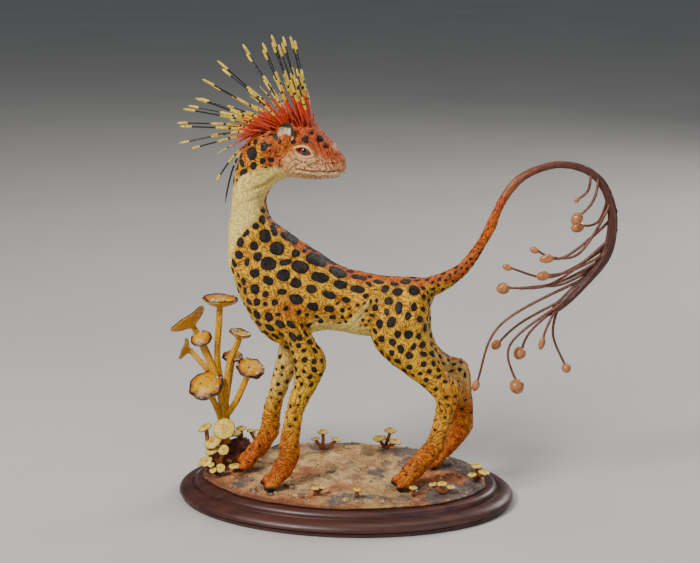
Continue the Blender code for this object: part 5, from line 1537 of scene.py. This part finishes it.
def ground_surface(roughness):
    """The clay ground: rings from its rim to its middle over a flat underside, at the clay's height."""
    turns = full_turn(420)
    shares = np.concatenate((np.linspace(1.0, 0.90, 22), np.linspace(0.895, 0.0, 120)[:-1]))[:, None]
    wave = 1 - sum(depth * (1 + np.sin(count * turns + start))
                   for depth, count, start in ((0.012, 5, 1), (0.008, 9, 0), (0.004, 23, 2)))
    x, y = GROUND_HALF[0] * shares * wave * np.cos(turns), GROUND_HALF[1] * shares * wave * np.sin(turns)
    height, share, stone, damp = clay_height(x, y, roughness)
    height = height - 0.00035 * np.interp(shares, (0.985, 1.0), (0.0, 1.0))
    at = np.stack((x, y, np.zeros_like(x)), axis=-1)
    drift = layered_noise(at, 0.016, 121, 3)
    rust = np.clip(fade(share + 0.45 * drift, 0.40, 0.85) * 0.75 + fade(drift, 0.1, 0.6) * 0.4, 0, 1)
    lean = 0.35 * (x / GROUND_HALF[0]) + 0.2 * (y / GROUND_HALF[1])
    grey = np.clip(fade(layered_noise(at, 0.013, 131, 3) + lean, 0.34, 0.62), 0, 0.9)
    low = fade(-layered_noise(at, 0.0052, 141, 3), 0.25, 0.9) * 0.5
    # Painted shadow round the feet, with dark patches at random and a darker band along the outer edge
    damp = np.clip(0.8 * damp + low + 0.45 * fade(share, 0.955, 0.995), 0, 0.9)
    mound_x, mound_y = ground_place(*MOUND_PLACE)
    mound = 1 - fade(np.hypot(x - mound_x, y - mound_y) + 0.003 * drift, MOUND_REACH, 0.0150)
    front = fade(share + 0.10 * drift, 0.86, 0.97) * fade(-x - 0.6 * y, 0.000, 0.035) * (1 - stone)
    masks = {"rust": rust, "grey": np.maximum(grey, stone * 0.85), "damp": damp,
             "mound": np.maximum(mound, 0.75 * front)}
    grid = np.stack((x, y, height), axis=-1)
    bottom = grid[:1] * (1, 1, 0) + (0, 0, FLOOR)
    masks = {name: np.vstack((mask[:1], mask)) for name, mask in masks.items()}
    return surface(np.vstack((bottom, grid)), **masks)


def pebble_surfaces(count, roughness):
    """Loose pebbles and crumbs: small uneven balls half sunk into the clay."""
    chance = np.random.default_rng(43)
    made = []
    angles = np.linspace(0.35, np.pi - 0.35, 5)
    for _ in range(count):
        share, turn = math.sqrt(chance.uniform(0.02, 0.88)), chance.uniform(0, 2 * math.pi)
        x, y = ground_place(share * math.cos(turn), share * math.sin(turn))
        size = 0.00028 + 0.00062 * chance.random() ** 3
        if chance.random() < 0.5:
            size *= 0.7
        if share > 0.55 and chance.random() < 0.25:
            size = chance.uniform(0.0007, 0.0015)
        level = float(clay_height(np.array([x]), np.array([y]), roughness)[0][0])
        centres = np.array((x, y, level + size * 0.1)) + np.cos(angles)[:, None] * np.array(UP) * size * 0.7
        grid = rings_round(centres, UP, size * np.sin(angles), 8)
        uneven = layered_noise(grid, size * 1.1, int(chance.integers(1, 900)), 1)[..., None]
        grid = grid + 0.45 * uneven * (grid - centres[:, None])
        tone = chance.random()
        masks = {"grey": 0.85 * (tone > 0.55), "rust": float(tone < 0.25), "damp": 0.0, "mound": 0.0}
        made.append(surface(grid, **{name: np.full(5, mask) for name, mask in masks.items()}))
    return made


# Operators

class SCULPTURE_OT_stage(Operator):
    """Pale floor, soft studio lights and the camera."""
    bl_idname = "sculpture.stage"
    bl_label = "Stage"

    def execute(self, context):
        mesh = bpy.data.meshes.new("floor")
        corners = [(STUDIO_HALF * x, STUDIO_HALF * y, 0) for x, y in ((-1, -1), (1, -1), (1, 1), (-1, 1))]
        mesh.from_pydata(corners, [], [(0, 1, 2, 3)])
        floor = linked("floor", mesh)
        paint = Paint("pale_floor", Roughness=0.75)
        clouds = paint.span(paint.noise(6.0), 0.3, 0.7)
        mesh.materials.append(paint.finish(paint.mix(clouds, (0.50, 0.49, 0.47), (0.54, 0.53, 0.51))))
        for name, place_at, size, power, colour in LIGHTS:
            lamp = bpy.data.lights.new(name, "AREA")
            lamp.shape = "DISK"
            lamp.size = size
            lamp.energy = power
            lamp.color = colour
            light = linked(name, lamp)
            light.location = place_at
            light.rotation_euler = direction_angles(np.array(LIGHTS_TARGET) - np.array(place_at))
        world = bpy.data.worlds.new("studio")
        context.scene.world = world
        world.use_nodes = True
        sky = world.node_tree.nodes["Background"].inputs
        sky["Color"].default_value = SKY_COLOUR
        sky["Strength"].default_value = SKY_STRENGTH
        azimuth, elevation = math.radians(CAMERA_AZIMUTH), math.radians(CAMERA_ELEVATION)
        back = np.array((math.sin(azimuth) * math.cos(elevation), -math.cos(azimuth) * math.cos(elevation),
                         math.sin(elevation)))
        lens = bpy.data.cameras.new("camera")
        lens.lens = CAMERA_LENS
        lens.sensor_width = CAMERA_SENSOR
        lens.clip_start = 0.01
        camera = linked("camera", lens)
        camera.location = np.array(CAMERA_TARGET) + back * CAMERA_DISTANCE
        camera.rotation_euler = direction_angles(-back)
        context.scene.camera = camera
        return {"FINISHED"}


def direction_angles(way):
    """Euler angles that turn a lamp or a camera, which look along -Z, to look along a way."""
    way = np.array(way, dtype=float) / np.linalg.norm(way)
    return (math.acos(-way[2]), 0.0, math.atan2(-way[0], way[1]))


class SCULPTURE_OT_base(Operator):
    """The turned and lacquered wooden base."""
    bl_idname = "sculpture.base"
    bl_label = "Wooden base"

    def execute(self, context):
        wood = wood_paint(context.scene.sculpture_colours)
        base = place("turned_base", [base_surface()], wood, "wood", "wooden_base")
        base.data.set_sharp_from_angle(angle=math.radians(38))
        return {"FINISHED"}


class SCULPTURE_OT_ground(Operator):
    """The rough clay ground with its stones and loose pebbles."""
    bl_idname = "sculpture.ground"
    bl_label = "Clay ground"

    def execute(self, context):
        sizes = context.scene.sculpture_sizes
        clay = clay_paint()
        place("clay_ground", [ground_surface(sizes.clay_roughness)], clay, "ground", "ground")
        if sizes.pebbles:
            place("pebbles", pebble_surfaces(sizes.pebbles, sizes.clay_roughness), clay, "ground")
        return {"FINISHED"}


class SCULPTURE_OT_creature(Operator):
    """The carved and painted hide with the ears and the glossy eyes."""
    bl_idname = "sculpture.creature"
    bl_label = "Creature"

    def execute(self, context):
        colours = context.scene.sculpture_colours
        place_mesh("hide", carved_hide(context.scene.sculpture_sizes), hide_paint(colours), "skin", "creature")
        place("eyes", [eyeball(side) for side in (-1, 1)], eye_paint(), "skin", "creature")
        place("ears", [ear(side) for side in (-1, 1)], ear_paint(colours), "skin", "creature")
        return {"FINISHED"}


class SCULPTURE_OT_tail(Operator):
    """The fibrous tail with its strands and bulbs."""
    bl_idname = "sculpture.tail"
    bl_label = "Tail"

    def execute(self, context):
        place("tail", tail_surfaces(), tail_paint(), "skin", "creature")
        return {"FINISHED"}


class SCULPTURE_OT_crest(Operator):
    """The crest of banded quills and the bristles at its foot."""
    bl_idname = "sculpture.crest"
    bl_label = "Crest"

    def execute(self, context):
        paint = quill_paint()
        nodes = [f"quill_{number:02d}" for number in range(1, QUILL_ROWS * QUILLS_IN_A_ROW + 1)]
        place("quills", crest_surfaces(), paint, "quills", *nodes)
        bristles = bristle_surfaces(context.scene.sculpture_sizes.bristles) + loose_quills()
        place("bristles", bristles, paint, "quills")
        return {"FINISHED"}


class SCULPTURE_OT_tall_mushrooms(Operator):
    """The tall yellow mushrooms and the dew drops on their caps."""
    bl_idname = "sculpture.tall_mushrooms"
    bl_label = "Tall mushrooms"

    def execute(self, context):
        shapes, wet = tall_surfaces()
        cap = tuple(context.scene.sculpture_colours.cap)
        paint = cap_paint("yellow_caps", cap, (0.40, 0.110, 0.002), (0.66, 0.31, 0.003), (0.64, 0.34, 0.006),
                          cap, 0.9, 0.752, 0.044)
        place("yellow_mushrooms", shapes, paint, "yellow_mushrooms", "tall_mushrooms")
        place("dew_drops", wet, drop_paint(), "yellow_mushrooms")
        return {"FINISHED"}


class SCULPTURE_OT_pale_mushrooms(Operator):
    """The stack of pale caps and the small clumps about the ground."""
    bl_idname = "sculpture.pale_mushrooms"
    bl_label = "Pale mushrooms"

    def execute(self, context):
        pale = tuple(context.scene.sculpture_colours.pale)
        paint = cap_paint("pale_caps", pale, (0.62, 0.34, 0.06), (0.34, 0.14, 0.03), (0.26, 0.060, 0.018),
                          (0.70, 0.27, 0.004), 0.0, 0.7346, 0.015)
        place("pale_stack", pale_surfaces(), paint, "pale_mushrooms", "pale_mushrooms")
        for seed, (name, *shares, caps) in enumerate(SMALL_CLUMPS, 50):
            clump = small_surfaces(shares, caps, seed)
            place("clump_" + name, clump, paint, "pale_mushrooms", "small_mushrooms_" + name)
        return {"FINISHED"}


class SCULPTURE_PT_panel(Panel):
    """The steps that dress the sculpture, and its sizes and paints."""
    bl_idname = "SCULPTURE_PT_panel"
    bl_label = "Sculpture"
    bl_space_type = "VIEW_3D"
    bl_region_type = "UI"
    bl_category = "Sculpture"

    def draw(self, context):
        for step in STEPS:
            self.layout.operator(step.bl_idname)
        for group in (context.scene.sculpture_sizes, context.scene.sculpture_colours):
            box = self.layout.box()
            for name in group.bl_rna.properties.keys():
                if name not in {"rna_type", "name"}:
                    box.prop(group, name)


STEPS = (SCULPTURE_OT_stage, SCULPTURE_OT_base, SCULPTURE_OT_ground, SCULPTURE_OT_creature, SCULPTURE_OT_tail,
         SCULPTURE_OT_crest, SCULPTURE_OT_tall_mushrooms, SCULPTURE_OT_pale_mushrooms)
CLASSES = (SculptureSizes, SculptureColours, *STEPS, SCULPTURE_PT_panel)


def register():
    for kind in CLASSES:
        bpy.utils.register_class(kind)
    bpy.types.Scene.sculpture_sizes = PointerProperty(type=SculptureSizes)
    bpy.types.Scene.sculpture_colours = PointerProperty(type=SculptureColours)


def unregister():
    del bpy.types.Scene.sculpture_colours
    del bpy.types.Scene.sculpture_sizes
    for kind in reversed(CLASSES):
        bpy.utils.unregister_class(kind)


def main():
    """Register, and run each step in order."""
    register()
    bpy.ops.sculpture.stage()
    bpy.ops.sculpture.base()
    bpy.ops.sculpture.ground()
    bpy.ops.sculpture.creature()
    bpy.ops.sculpture.tail()
    bpy.ops.sculpture.crest()
    bpy.ops.sculpture.tall_mushrooms()
    bpy.ops.sculpture.pale_mushrooms()


if __name__ == "__main__":
    main()
